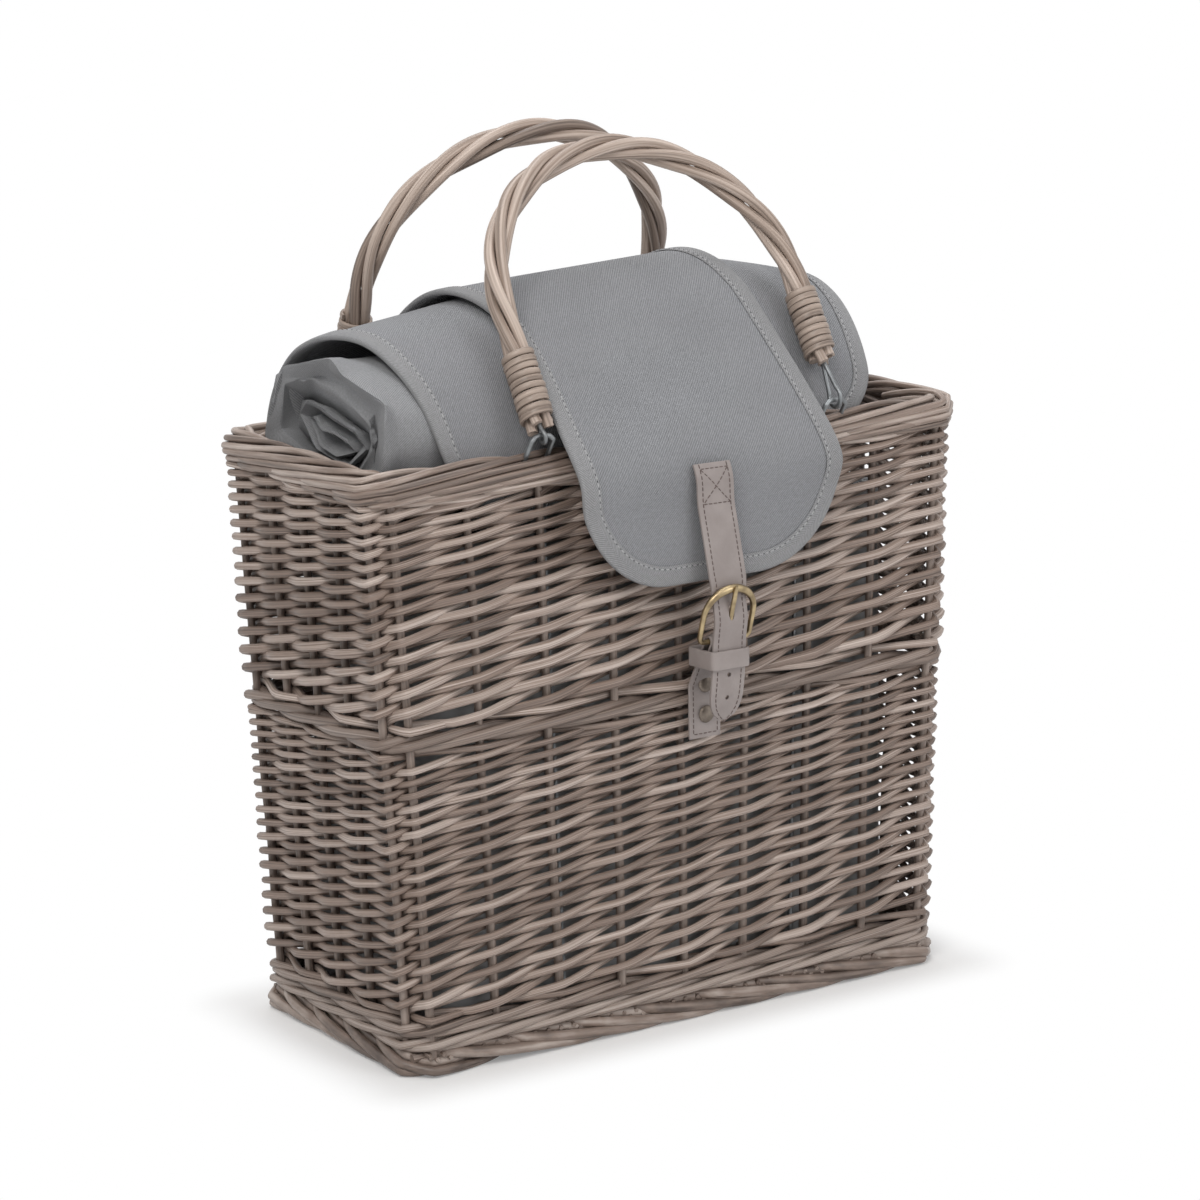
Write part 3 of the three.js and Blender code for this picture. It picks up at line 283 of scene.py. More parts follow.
def makeBarkGroup():
    inputs = {"Pale": "Color", "Middle": "Color", "Dark": "Color", "Contrast": "Float", "Knots": "Float"}
    group, given, result = newGroup("willowGrain", inputs)

    def times(first, second):
        return mathNode(group, "MULTIPLY", first, second)

    around, down, _ = addNode(group, "SeparateXYZ", {0: shade(group, "UVMap", uv_map="UVMap")}).outputs
    tone = addNode(group, "Attribute", attribute_name="tone").outputs["Fac"]
    run = addNode(group, "Attribute", attribute_name="run").outputs["Fac"]
    along = times(down, run)
    seed = times(tone, barkGrain["seedSpread"])

    def pattern(kind, title, **detail):
        across, lengthways = barkGrain[title]
        scaled = {"X": times(around, across), "Y": times(along, lengthways), "Z": seed}
        place = shade(group, "CombineXYZ", scaled)
        return shade(group, kind, {"Vector": place, "Scale": 1.0, **detail})

    streak = pattern("TexNoise", "streak", Detail=4.0)
    mottle = pattern("TexNoise", "mottle", Detail=3.0)
    knot = mapRange(group, pattern("TexVoronoi", "knots"), *barkGrain["knotSize"])
    grain = mathNode(group, "ADD", streak, times(mottle, barkGrain["mottleShare"]))
    toned = mathNode(group, "ADD", grain, times(tone, barkGrain["toneShare"]))
    centred = mathNode(group, "SUBTRACT", toned, barkGrain["centre"])
    level = mathNode(group, "MULTIPLY_ADD", centred, given["Contrast"], 0.5)
    body = mixColour(group, mapRange(group, level, 0.0, 0.5), given["Dark"], given["Middle"])
    wash = mixColour(group, mapRange(group, level, 0.5, 1.0), body, given["Pale"])
    spotted = mixColour(group, times(knot, given["Knots"]), wash, barkGrain["knotColour"])
    group.links.new(spotted, result["Color"])
    group.links.new(mathNode(group, "MULTIPLY_ADD", streak, *barkGrain["roughness"]), result["Roughness"])
    height = mathNode(group, "SUBTRACT", streak, times(knot, barkGrain["knotDepth"]))
    group.links.new(height, result["Height"])
    return group


# Woven cloth on the flat cut of each piece, in metres: twill ribs or tape herringbone
twill = {
    "zigzag": 4.0,  # ribs from one turn of the herringbone to the next
    "thread": 0.25,  # height of the fine threads, beside ribs of 1
    "ribTone": 0.22,
    "fleck": (0.9, 2.0),  # scale and detail of the noise
    "fleckTone": 0.5,
    "patch": (0.035, 3.0),
    "roughness": (0.1, 0.78),  # what the flecks add, least
    "bump": 0.5,
    "specular": 0.3,
}


def makeTwillGroup():
    inputs = {"Base": "Color", "Pitch": "Float", "Herringbone": "Float", "Mottle": "Float"}
    group, given, result = newGroup("twillWeave", inputs)

    def joined(operation, first, second):
        return mathNode(group, operation, first, second)

    u, v, _ = addNode(group, "SeparateXYZ", {0: shade(group, "UVMap", uv_map="UVMap")}).outputs
    across = joined("DIVIDE", u, given["Pitch"])
    along = joined("DIVIDE", v, given["Pitch"])
    zigzag = joined("MULTIPLY", joined("PINGPONG", along, twill["zigzag"]), given["Herringbone"])
    straight = joined("MULTIPLY", along, joined("SUBTRACT", 1.0, given["Herringbone"]))
    slant = joined("ADD", across, joined("ADD", zigzag, straight))
    rib = joined("SINE", joined("MULTIPLY", slant, 2 * pi), 0.0)
    thread = joined("SINE", joined("MULTIPLY", joined("SUBTRACT", across, along), 4 * pi), 0.0)
    weave = mathNode(group, "MULTIPLY_ADD", thread, twill["thread"], rib)
    place = shade(group, "CombineXYZ", {"X": across, "Y": along})

    def speckle(title):
        scale, detail = twill[title]
        return shade(group, "TexNoise", {"Vector": place, "Scale": scale, "Detail": detail})

    fleck = speckle("fleck")
    fleckTone = joined("MULTIPLY", joined("SUBTRACT", fleck, 0.5), twill["fleckTone"])
    patchTone = joined("MULTIPLY", joined("SUBTRACT", speckle("patch"), 0.5), given["Mottle"])
    woven = joined("ADD", joined("MULTIPLY", weave, twill["ribTone"]), fleckTone)
    level = joined("ADD", woven, joined("ADD", patchTone, 1.0))
    tint = shade(group, "CombineColor", {0: level, 1: level, 2: level})
    group.links.new(mixColour(group, 1.0, given["Base"], tint, "MULTIPLY"), result["Color"])
    group.links.new(mathNode(group, "MULTIPLY_ADD", fleck, *twill["roughness"]), result["Roughness"])
    group.links.new(weave, result["Height"])
    return group


# Plain surfaces with a noise mottle: leather, metal, thread and foil
mottled = {
    "broadDetail": 4.0,
    "fineDetail": 3.0,
    "fineness": 9.0,  # of the grain, beside the patches
    "patch": (0.35, 0.65),
    "roughness": 0.3,  # spread
    "bump": 0.6,
}

# pale, middle and dark bark, contrast, knots
willows = {
    "willow": ((0.55, 0.468, 0.42, 1), (0.258, 0.192, 0.158, 1), (0.10, 0.073, 0.06, 1), 1.35, 0.8),
    "darkWillow": ((0.43, 0.365, 0.325, 1), (0.23, 0.175, 0.146, 1), (0.085, 0.063, 0.052, 1), 1.35, 0.8),
    "rimWillow": ((0.48, 0.405, 0.36, 1), (0.25, 0.188, 0.156, 1), (0.09, 0.067, 0.055, 1), 1.4, 0.8),
    # stakes: a darker copy of the willow, painted shade of their place behind the weave
    "shadedStakeWillow": ((0.36, 0.293, 0.255, 1), (0.21, 0.163, 0.138, 1), (0.08, 0.06, 0.05, 1), 1.0, 0.8),
    "handleWillow": ((0.60, 0.50, 0.435, 1), (0.32, 0.247, 0.203, 1), (0.12, 0.09, 0.073, 1), 1.3, 0.8),
    "splitWillow": ((0.52, 0.425, 0.36, 1), (0.325, 0.256, 0.212, 1), (0.12, 0.09, 0.073, 1), 1.2, 0.4),
}
# colour, pitch of the ribs, share of herringbone, mottle, depth of the ribs, sheen
cloths = {
    "greyCloth": ((0.228, 0.232, 0.245, 1), 1.8, 0.0, 0.25, 0.25, 0.15),
    "greyTape": ((0.252, 0.253, 0.26, 1), 1.6, 1.0, 0.12, 0.25, 0.15),
    "neckCloth": ((0.25, 0.253, 0.262, 1), 1.8, 0.0, 0.2, 0.15, 0.05),
    # the bag's shell is the same grey cloth as the neck, painted lighter so that the shade seen through the
    # gaps of the weave reads lighter: painted light
    "paintedLightBagCloth": ((0.36, 0.36, 0.365, 1), 1.8, 0.0, 0.2, 0.15, 0.05),
}
# colour, darker colour, patches to a metre, roughness, metal, depth of the grain
plains = {
    "greyThread": ((0.40, 0.40, 0.41, 1), (0.32, 0.32, 0.33, 1), 400.0, 0.7, 0.0, 0.0),
    # dark short rods between the tape stitches: painted shade of the needle holes
    "paintedHoleShade": ((0.09, 0.09, 0.10, 1), (0.06, 0.06, 0.065, 1), 400.0, 0.8, 0.0, 0.0),
    "taupeLeather": ((0.30, 0.262, 0.25, 1), (0.25, 0.215, 0.205, 1), 60.0, 0.55, 0.0, 0.12),
    "leatherThread": ((0.13, 0.095, 0.085, 1), (0.09, 0.065, 0.06, 1), 400.0, 0.7, 0.0, 0.0),
    "agedBrass": ((0.52, 0.41, 0.24, 1), (0.25, 0.19, 0.115, 1), 130.0, 0.36, 1.0, 0.0),
    "rivetBronze": ((0.25, 0.21, 0.175, 1), (0.14, 0.115, 0.095, 1), 160.0, 0.5, 0.8, 0.0),
    "zincWire": ((0.27, 0.285, 0.295, 1), (0.17, 0.175, 0.18, 1), 90.0, 0.45, 0.8, 0.0),
    "foilLining": ((0.72, 0.73, 0.74, 1), (0.58, 0.59, 0.60, 1), 40.0, 0.3, 0.85, 0.3),
}


def makeWillow(name, group, pale, middle, dark, contrast, knots):
    values = {"Pale": pale, "Middle": middle, "Dark": dark, "Contrast": contrast, "Knots": knots}
    return groupMaterial(name, group, values, barkGrain["bump"], barkGrain["specular"])[0]


def makeCloth(name, group, base, pitch, herringbone, mottle, depth, sheen):
    values = {"Base": base, "Pitch": pitch * mm, "Herringbone": herringbone, "Mottle": mottle}
    material, shader = groupMaterial(name, group, values, (twill["bump"], depth), twill["specular"])
    shader.inputs["Sheen Weight"].default_value = sheen
    return material


def makePlain(name, base, dark, scale, rough, metal, depth):
    material, tree, shader = newMaterial(name)
    place = addNode(tree, "TexCoord").outputs["Object"]
    broad = shade(tree, "TexNoise", {"Vector": place, "Scale": scale, "Detail": mottled["broadDetail"]})
    fine = shade(tree, "TexNoise", {"Vector": place, "Scale": scale * mottled["fineness"],
                                    "Detail": mottled["fineDetail"]})
    patches = mixColour(tree, mapRange(tree, broad, *mottled["patch"]), dark, base)
    spread = mottled["roughness"]
    tree.links.new(patches, shader.inputs["Base Color"])
    roughness = mathNode(tree, "MULTIPLY_ADD", fine, spread, rough - spread / 2)
    tree.links.new(roughness, shader.inputs["Roughness"])
    shader.inputs["Metallic"].default_value = metal
    if depth:
        bump = shade(tree, "Bump", {"Strength": mottled["bump"], "Distance": depth * mm, "Height": fine})
        tree.links.new(bump, shader.inputs["Normal"])
    return material


barkGroup = makeBarkGroup()
twillGroup = makeTwillGroup()
finish = {name: makeWillow(name, barkGroup, *values) for name, values in willows.items()}
finish |= {name: makeCloth(name, twillGroup, *values) for name, values in cloths.items()}
finish |= {name: makePlain(name, *values) for name, values in plains.items()}
print("materials made")


# Rods: each has a line, a radius at each point and a tone

rodFinish = {"merge": 0.01, "sharp": 55.0}


def rod(line, radii, tone):
    return {"line": line, "radii": radii, "tone": tone}


# Merges the doubles of a bmesh in metres and turns its faces out
def closeMesh(bm):
    bmesh.ops.remove_doubles(bm, verts=bm.verts, dist=rodFinish["merge"] * mm)
    bmesh.ops.recalc_face_normals(bm, faces=bm.faces)


def rodMesh(name, rods, sides):
    data = bpy.data.curves.new(name, "CURVE")
    data.dimensions = "3D"
    data.bevel_depth = 1.0
    data.bevel_resolution = sides // 2 - 2
    data.use_fill_caps = True
    for index, one in enumerate(rods):
        data.materials.append(None)
        spline = data.splines.new("POLY")
        spline.points.add(len(one["line"]) - 1)
        spline.material_index = index
        for point, place, radius in zip(spline.points, one["line"], one["radii"]):
            point.co = (*(place * mm), 1.0)
            point.radius = radius * mm
    curve = addObject(name, data)
    graph = bpy.context.evaluated_depsgraph_get()
    mesh = bpy.data.meshes.new_from_object(curve.evaluated_get(graph))
    bpy.data.objects.remove(curve)
    mesh.name = name
    markRods(mesh, rods)
    bm = bmesh.new()
    bm.from_mesh(mesh)
    closeMesh(bm)
    bm.to_mesh(mesh)
    bm.free()
    mesh.shade_smooth()
    mesh.set_sharp_from_angle(angle=radians(rodFinish["sharp"]))
    return addObject(name, mesh)


def markFaces(mesh, title, values):
    mesh.attributes.new(title, "FLOAT", "FACE").data.foreach_set("value", values)


# Gives every face the tone and the length of its own rod
def markRods(mesh, rods):
    rodOf = [0] * len(mesh.polygons)
    mesh.polygons.foreach_get("material_index", rodOf)
    runs = [sum((b - a).length for a, b in zip(r["line"], r["line"][1:])) * mm for r in rods]
    markFaces(mesh, "tone", [rods[i]["tone"] for i in rodOf])
    markFaces(mesh, "run", [runs[i] for i in rodOf])
    mesh.polygons.foreach_set("material_index", [0] * len(rodOf))
    mesh.materials.clear()


def dress(piece, look, body, slot, *nodes):
    piece.data.materials.append(finish[look])
    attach(piece, body)
    if nodes:
        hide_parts(*nodes)


# Woven wall, counted in stakes round the basket from the front left

lowBand = nodeBox("lower_weave")
highBand = nodeBox("upper_weave")
rimBox = nodeBox("rim_border")
wall = {
    "longGaps": 8,
    "endGaps": 4,
    "cornerCut": 14.0,
    "halfDepth": (lowBand[1].y - lowBand[0].y) / 2,
    "middleY": (lowBand[1].y + lowBand[0].y) / 2,
    "flare": (highBand[1].x - lowBand[1].x) / (highBand[1].z - lowBand[1].z),
    # how far each corner of the rim is off level: front left, front right, back left, back right
    "lifts": (-4.0, 2.0, 2.0, 7.0),
    "liftStart": 190.0,
    "seam": 17,  # stake at the back where the rods that go all round meet their own ends
}
stakeRods = {
    "inset": 6.5,
    "radius": (2.7, 2.3),  # at the foot and at the rim
    "inRim": 4.0,  # how far they reach into the rim border
    "steps": 40,
    "sideSway": (0.12, 0.03),  # rate, and size in stakes
    "outSway": (0.2, 0.6),
    "sides": 8,
}
stakes = 2 * (wall["longGaps"] + wall["endGaps"] + 2)


def halfLength(height):
    return lowBand[1].x + wall["flare"] * (height - lowBand[1].z)


def rimLift(x, y, height):
    share = smoothStep(wall["liftStart"], highBand[1].z, height)
    right = clamp(0.5 + 0.5 * x / halfLength(height))
    back = clamp(0.5 + 0.5 * y / wall["halfDepth"])
    frontLeft, frontRight, backLeft, backRight = wall["lifts"]
    front = between(frontLeft, frontRight, right)
    return share * between(front, between(backLeft, backRight, right), back)


def wallPoint(place, out, height):
    inset = stakeRods["inset"] - out
    x = halfLength(height) - inset
    y = wall["halfDepth"] - inset
    back = wall["cornerCut"] - inset * (2 - sqrt(2))
    longGaps = wall["longGaps"]
    endGaps = wall["endGaps"]
    corners = [(-x + back, -y, longGaps), (x - back, -y, 1), (x, -y + back, endGaps), (x, y - back, 1),
               (x - back, y, longGaps), (-x + back, y, 1), (-x, y - back, endGaps), (-x, -y + back, 1)]
    left = place % stakes
    side = 0
    while left >= corners[side][2]:
        left -= corners[side][2]
        side += 1
    x0, y0, gaps = corners[side]
    x1, y1, _ = corners[(side + 1) % len(corners)]
    px = between(x0, x1, left / gaps)
    py = between(y0, y1, left / gaps)
    return Vector((px, py + wall["middleY"], height + rimLift(px, py, height)))


# Slow wandering of a rod, another for each seed
def waver(seed, along, size):
    return size * noise.noise(Vector((seed * 7.31, along * 0.9, seed * 1.7)))


# Single rods, set in all round and woven together, so that each one climbs to the right
sideWeave = {
    "rodsRound": 42,
    "steps": 8,  # points from one stake to the next
    "linger": 0.12,  # how much flatter a rod runs in front of a stake than behind it
    "bend": 0.95,  # 1 bends sharply at each stake
    "sizes": (0.92, 1.08),
    "waver": 0.7,  # up and down
    "sway": 0.5,  # in and out
    "girth": 0.1,
    "closing": (0.8, 0.85, 0.8),  # rods that close a band: inset and size in butts, waver
    "sides": 8,
    "bands": [
        # name, courses, butt and tip radius, how much wider the lowest courses are set
        ("lower_weave", 36, 2.55, 1.9, 0.22),
        ("upper_weave", 29, 2.95, 2.15, 0.28),
    ],
}


# Swing of a rod from the front of one stake to the back of the next: straight, with a rounded bend
def stakeSwing(turn):
    return asin(sideWeave["bend"] * cos(turn)) / asin(sideWeave["bend"])


# Place behind a stake nearest to where a rod starts or ends, where its cut end is out of sight
def behindStake(place, index):
    return 2 * round((place + index - 1) / 2) + 1 - index


def weaveRods(bottom, top, courses, butt, tip, spread, chance):
    rods = []
    rodsRound = sideWeave["rodsRound"]
    steps = sideWeave["steps"]
    span = courses * stakes / rodsRound
    stakeRadius = sum(stakeRods["radius"]) / 2
    for index in range(rodsRound):
        start = index * stakes / rodsRound
        first = behindStake(start, index)
        last = behindStake(start + span, index)
        size = chance.uniform(*sideWeave["sizes"])
        line = []
        radii = []
        for step in range((last - first) * steps + 1):
            place = first + step / steps
            turn = pi * (place + index)
            share = clamp((place - start - sideWeave["linger"] / pi * sin(turn)) / span)
            radius = size * between(butt, tip, share)
            rise = (1 + spread) * share - spread * share * share
            height = between(bottom + butt, top - tip, rise) + waver(index, place, sideWeave["waver"])
            out = (radius + stakeRadius) * stakeSwing(turn) + waver(index + 50, place, sideWeave["sway"])
            line.append(wallPoint(place, out, height))
            radii.append(radius * (1 + waver(index + 90, 3 * place, sideWeave["girth"])))
        rods.append(rod(line, radii, chance.random()))
    return rods


# Rod that goes once round the foot or the head of a band and closes the gaps beside the cut ends
def closingRod(height, radius, first, chance):
    steps = sideWeave["steps"]
    swing = radius + stakeRods["radius"][0]
    line = []
    for step in range(stakes * steps + 1):
        place = wall["seam"] + first + step / steps
        out = swing * stakeSwing(pi * (place + first))
        line.append(wallPoint(place, out, height + waver(7, place, sideWeave["closing"][2])))
    return rod(line, [radius] * len(line), chance.random())


def makeSideWeave():
    chance = random.Random(11)
    inset, size, _ = sideWeave["closing"]
    for name, courses, butt, tip, spread in sideWeave["bands"]:
        low, high = nodeBox(name)
        rods = weaveRods(low.z, high.z, courses, butt, tip, spread, chance)
        rods.append(closingRod(low.z + butt * inset, butt * size, 0, chance))
        rods.append(closingRod(high.z - tip * inset, tip, 1, chance))
        dress(rodMesh(name + "_rods", rods, sideWeave["sides"]), "willow", "basket", "willow", name)


def makeStakes():
    chance = random.Random(5)
    bottom = nodeBox("foot_border")[1].z
    top = rimBox[0].z + stakeRods["inRim"]
    steps = stakeRods["steps"]
    sideRate, sideSize = stakeRods["sideSway"]
    outRate, outSize = stakeRods["outSway"]
    rods = []
    for stake in range(stakes):
        line = []
        for step in range(steps + 1):
            along = stake + waver(stake, step * sideRate, sideSize)
            out = waver(stake + 30, step * outRate, outSize)
            line.append(wallPoint(along, out, between(bottom, top, step / steps)))
        radii = [between(*stakeRods["radius"], step / steps) for step in range(steps + 1)]
        rods.append(rod(line, radii, chance.random()))
    # stakes in a darker copy of the willow: painted shade
    dress(rodMesh("side_stakes", rods, stakeRods["sides"]), "shadedStakeWillow", "basket", "willow")


# Wales: three rods to a row, each in front of two stakes and behind the next
wales = {
    "turns": 9,  # full turns of a rod in one round
    "steps": 14,  # points in one turn
    "strands": 3,
    "front": 2 / 3,  # share of a turn that a rod runs in front
    "rowTurn": 0.4,  # how far the next row is turned on
    "sway": (0.4, 0.6),  # in and out, up and down
    "girth": 0.16,
    "sides": 10,
    # name, rows, rod radius, half of the rise of a rod, reach in front of the stakes
    "bands": [("bottom_wale", 2, 2.35, 2.6, 5.0), ("middle_wale", 1, 2.8, 3.0, 5.4)],
}


def waleRods(low, high, rows, radius, rise, reach, chance):
    rods = []
    steps = wales["turns"] * wales["steps"]
    front = wales["front"]
    outSway, upSway = wales["sway"]
    for row in range(rows):
        middle = between(low, high, (row + 0.5) / rows)
        for strand in range(wales["strands"]):
            line = []
            for step in range(steps + 1):
                place = wall["seam"] + stakes * step / steps
                phase = place / stakes * wales["turns"] + strand / wales["strands"] + wales["rowTurn"] * row
                phase %= 1.0
                turn = pi * phase / front if phase < front else pi * (1 + (phase - front) / (1 - front))
                out = reach * sin(turn) + waver(row * 9 + strand, place, outSway)
                height = middle - rise * cos(turn) + waver(strand + 20 * row, place, upSway)
                line.append(wallPoint(place, out, height))
            radii = [radius * (1 + waver(strand + 7 * row, 0.5 * i, wales["girth"]))
                     for i in range(len(line))]
            rods.append(rod(line, radii, chance.random()))
    return rods


def makeWales():
    chance = random.Random(23)
    for name, rows, radius, rise, reach in wales["bands"]:
        low, high = nodeBox(name)
        rods = waleRods(low.z, high.z, rows, radius, rise, reach, chance)
        dress(rodMesh(name + "_rods", rods, wales["sides"]), "darkWillow", "basket", "dark_willow", name)


# Borders: each rod starts at a stake and follows (stakes along, out, height) stations to its tucked end
footBorder = {
    "radius": 3.1,
    "strands": [(0.0, 0.0), (-5.0, 4.0)],  # out and up from the stations
    "stations": [(0.0, -3.0, 13.0), (0.35, 2.5, 11.5), (0.8, 5.6, 9.0), (1.5, 6.0, 5.2), (2.2, 5.0, 3.3),
                 (2.7, 1.0, 3.2), (3.0, -4.0, 3.4)],
    "gap": 27,  # stake without a border rod, where the base shows
    "sides": 10,
}
rimBorder = {
    "radius": 2.15,
    "strands": [(0.5, 2.0), (-0.5, -2.0)],
    "stations": [(0.0, 0.0, -8.0), (0.45, -3.5, -1.0), (0.95, -1.0, 1.0), (1.4, 5.0, 1.8), (2.0, 6.4, 3.6),
                 (3.0, 6.2, 7.2), (4.0, 4.8, 11.2), (4.6, 1.0, 13.4), (5.2, -5.0, 13.6), (5.7, -8.5, 10.5),
                 (6.1, -9.0, 7.0)],
    "gap": None,
    "sides": 12,
}
borderRod = {"steps": 44, "sizes": (0.9, 1.1), "shift": 0.4, "taper": (1.06, 0.9), "waver": 0.9}


def smoothThrough(stations, share):
    last = len(stations) - 1
    place = share * last
    index = min(int(place), last - 1)
    t = place - index
    before, start, end, after = (Vector(stations[clamp(index + k, 0, last)]) for k in (-1, 0, 1, 2))
    return 0.5 * (2 * start + (end - before) * t + (2 * before - 5 * start + 4 * end - after) * t * t
                  + (3 * start - before - 3 * end + after) * t ** 3)


def borderRods(settings, base, chance):
    rods = []
    steps = borderRod["steps"]
    for stake in range(stakes):
        if stake == settings["gap"]:
            continue
        for strandOut, strandUp in settings["strands"]:
            size = chance.uniform(*borderRod["sizes"])
            shift = chance.uniform(-borderRod["shift"], borderRod["shift"])
            line = []
            for step in range(steps + 1):
                along, out, height = smoothThrough(settings["stations"], step / steps)
                height += base + strandUp + waver(stake + strandUp * 7, along, borderRod["waver"])
                line.append(wallPoint(stake + along, out + strandOut + shift, height))
            thick = settings["radius"] * size
            radii = [thick * between(*borderRod["taper"], step / steps) for step in range(steps + 1)]
            rods.append(rod(line, radii, chance.random()))
    return rods


def makeBorders():
    chance = random.Random(37)
    for name, settings, base, look in (("foot_border", footBorder, 0.0, "darkWillow"),
                                       ("rim_border", rimBorder, rimBox[0].z, "rimWillow")):
        rods = borderRods(settings, base, chance)
        dress(rodMesh(name + "_rods", rods, settings["sides"]), look, "basket", "willow", name)


# Base: sticks along the basket with thin rods woven across them
basePanel = {
    "sticks": 7,
    "stickRadius": 2.6,
    "stickInset": (4.0, 9.0),  # at its ends, and of the outer sticks
    "stickSteps": 8,
    "pitch": 4.4,
    "margin": 10.0,  # at the ends of the basket, without rods
    "rodRadius": 1.5,
    "rodInset": 1.0,
    "swing": 1.9,
    "sway": (0.2, 0.4),
    "steps": 6,
    "sides": 6,
}


def makeBase():
    chance = random.Random(41)
    low, high = nodeBox("base_panel")
    middle = (low.z + high.z) / 2
    endInset, sideInset = basePanel["stickInset"]
    last = basePanel["sticks"] - 1
    rows = [between(low.y + sideInset, high.y - sideInset, i / last) for i in range(last + 1)]
    stickSteps = basePanel["stickSteps"]
    rods = []
    for y in rows:
        line = [Vector((between(low.x + endInset, high.x - endInset, i / stickSteps), y, middle))
                for i in range(stickSteps + 1)]
        rods.append(rod(line, [basePanel["stickRadius"]] * len(line), chance.random()))
    steps = basePanel["steps"] * (len(rows) + 1)
    rate, sway = basePanel["sway"]
    for index in range(int((high.x - low.x - 2 * basePanel["margin"]) / basePanel["pitch"])):
        x = low.x + basePanel["margin"] + basePanel["pitch"] * (index + 0.5)
        line = []
        for step in range(steps + 1):
            y = between(low.y + basePanel["rodInset"], high.y - basePanel["rodInset"], step / steps)
            turn = pi * ((y - rows[0]) / (rows[1] - rows[0]) + index)
            height = middle + basePanel["swing"] * cos(turn)
            line.append(Vector((x + waver(index, step * rate, sway), y, height)))
        rods.append(rod(line, [basePanel["rodRadius"]] * len(line), chance.random()))
    weave = rodMesh("base_weave", rods, basePanel["sides"])
    dress(weave, "darkWillow", "basket", "dark_willow", "base_panel")


makeSideWeave()
makeStakes()
makeWales()
makeBorders()
makeBase()
print("woven body made")


# Cloth, tape and leather

def addModifier(piece, kind, **settings):
    modifier = piece.modifiers.new(kind.lower(), kind)
    for title, value in settings.items():
        setattr(modifier, title, value)


def applyModifiers(piece):
    graph = bpy.context.evaluated_depsgraph_get()
    mesh = bpy.data.meshes.new_from_object(piece.evaluated_get(graph))
    mesh.name = piece.name
    piece.modifiers.clear()
    piece.data = mesh


# Grid shaped by shares of 0 to 1 across and along it, which placeAt and flatAt take; creaseAt takes two rows
def shapedGrid(columns, rows, placeAt, flatAt, creaseAt=None):
    bm = bmesh.new()
    bmesh.ops.create_grid(bm, x_segments=columns, y_segments=rows, size=0.5)
    flat = bm.loops.layers.uv.new("UVMap")
    for face in bm.faces:
        face.smooth = True
        for loop in face.loops:
            loop[flat].uv = flatAt(loop.vert.co.x + 0.5, loop.vert.co.y + 0.5)
    if creaseAt:
        crease = bm.edges.layers.float.new("crease_edge")
        for edge in bm.edges:
            edge[crease] = creaseAt(*(round((vert.co.y + 0.5) * rows) for vert in edge.verts))
    for vert in bm.verts:
        vert.co = placeAt(vert.co.x + 0.5, vert.co.y + 0.5) * mm
    return bm


def clothPiece(name, columns, rows, placeAt, flatAt, thickness, offset=-1.0):
    piece = meshObject(name, shapedGrid(columns, rows, placeAt, lambda u, v: Vector(flatAt(u, v)) * mm))
    addModifier(piece, "SOLIDIFY", thickness=thickness * mm, offset=offset, use_even_offset=True)
    addModifier(piece, "SUBSURF", levels=1, render_levels=1)
    applyModifiers(piece)
    return piece


# Round-cornered tongue: half width at a place along it, and its outline with the way out at each point
def tongueHalf(half, end, corner, along):
    past = max(0.0, along - (end - corner))
    return half - corner + sqrt(max(0.0, corner * corner - past * past))


def tongueOutline(half, start, end, corner, pitch):
    straight = end - corner - start
    count = max(2, round(straight / pitch))
    outline = [(half, start + straight * i / count, 1.0, 0.0) for i in range(count)]
    count = max(4, round(corner * pi / 2 / pitch))
    for i in range(count):
        outX = cos(pi / 2 * i / count)
        outY = sin(pi / 2 * i / count)
        outline.append((half - corner + corner * outX, end - corner + corner * outY, outX, outY))
    count = max(2, round((half - corner) / pitch))
    outline += [((half - corner) * (1 - i / count), end, 0.0, 1.0) for i in range(count + 1)]
    mirrored = [(-across, along, -outX, outY) for across, along, outX, outY in reversed(outline[:-1])]
    return outline + mirrored


# Place along a tongue, with its rows set closer round the corners
def tongueAlong(start, end, corner, share):
    straight = end - corner - start
    split = straight / (end - start)
    if share < split:
        return start + straight * share / split
    return end - corner + corner * sin(pi / 2 * (share - split) / (1 - split))


# Area that two rounded corners take off a rectangle, in square metres
def cornerLoss(corner):
    return 2 * (1 - pi / 4) * (corner * mm) ** 2


edgeTape = {
    "thickness": 0.5,
    # inset from the edge and lift off the middle of the cloth, from the top face round to the underside
    "section": [(12.0, 1.5), (11.4, 1.9), (7.0, 2.1), (2.0, 2.0), (0.4, 1.5), (-0.3, 0.2), (0.4, -1.3),
                (6.0, -1.7), (11.5, -1.6)],
    "underside": (0.6, 20.0),  # share of the section where it starts, and its shift in the flat cut
    "pitch": 4.0,
    "clothInset": 1.0,  # edge of the cloth inside its tape
    "clothLift": 1.2,
    "stitchInset": 10.2,
    "stitchLift": 1.95,
    "stitchPitch": 4.0,
    # what lies along the seam: length, radius, first one in pitches; the holes are short dark rods, painted
    # shade of the needle holes between the stitches
    "seam": {"stitches": (2.7, 0.45, 0.5), "holes": (1.2, 0.42, 1.0)},
    "sides": 6,
}
# place along a stitch in lengths, share of its radius
stitchShape = [(-0.5, 0.35), (-0.3, 1.0), (0.3, 1.0), (0.5, 0.35)]


def tapePiece(name, at, outline):
    section = edgeTape["section"]
    underFrom, underShift = edgeTape["underside"]
    lengths = [0.0]
    for first, second in zip(outline, outline[1:]):
        lengths.append(lengths[-1] + (Vector(second[:2]) - Vector(first[:2])).length)
    columns = len(outline) - 1
    rows = len(section) - 1

    def placeAt(u, v):
        inset, lift = section[round(v * rows)]
        across, along, outX, outY = outline[round(u * columns)]
        return at(across - outX * inset, along - outY * inset, lift)

    def flatAt(u, v):
        return lengths[round(u * columns)], section[round(v * rows)][0] + underShift * (v > underFrom)

    return clothPiece(name, columns, rows, placeAt, flatAt, edgeTape["thickness"], 0.0)


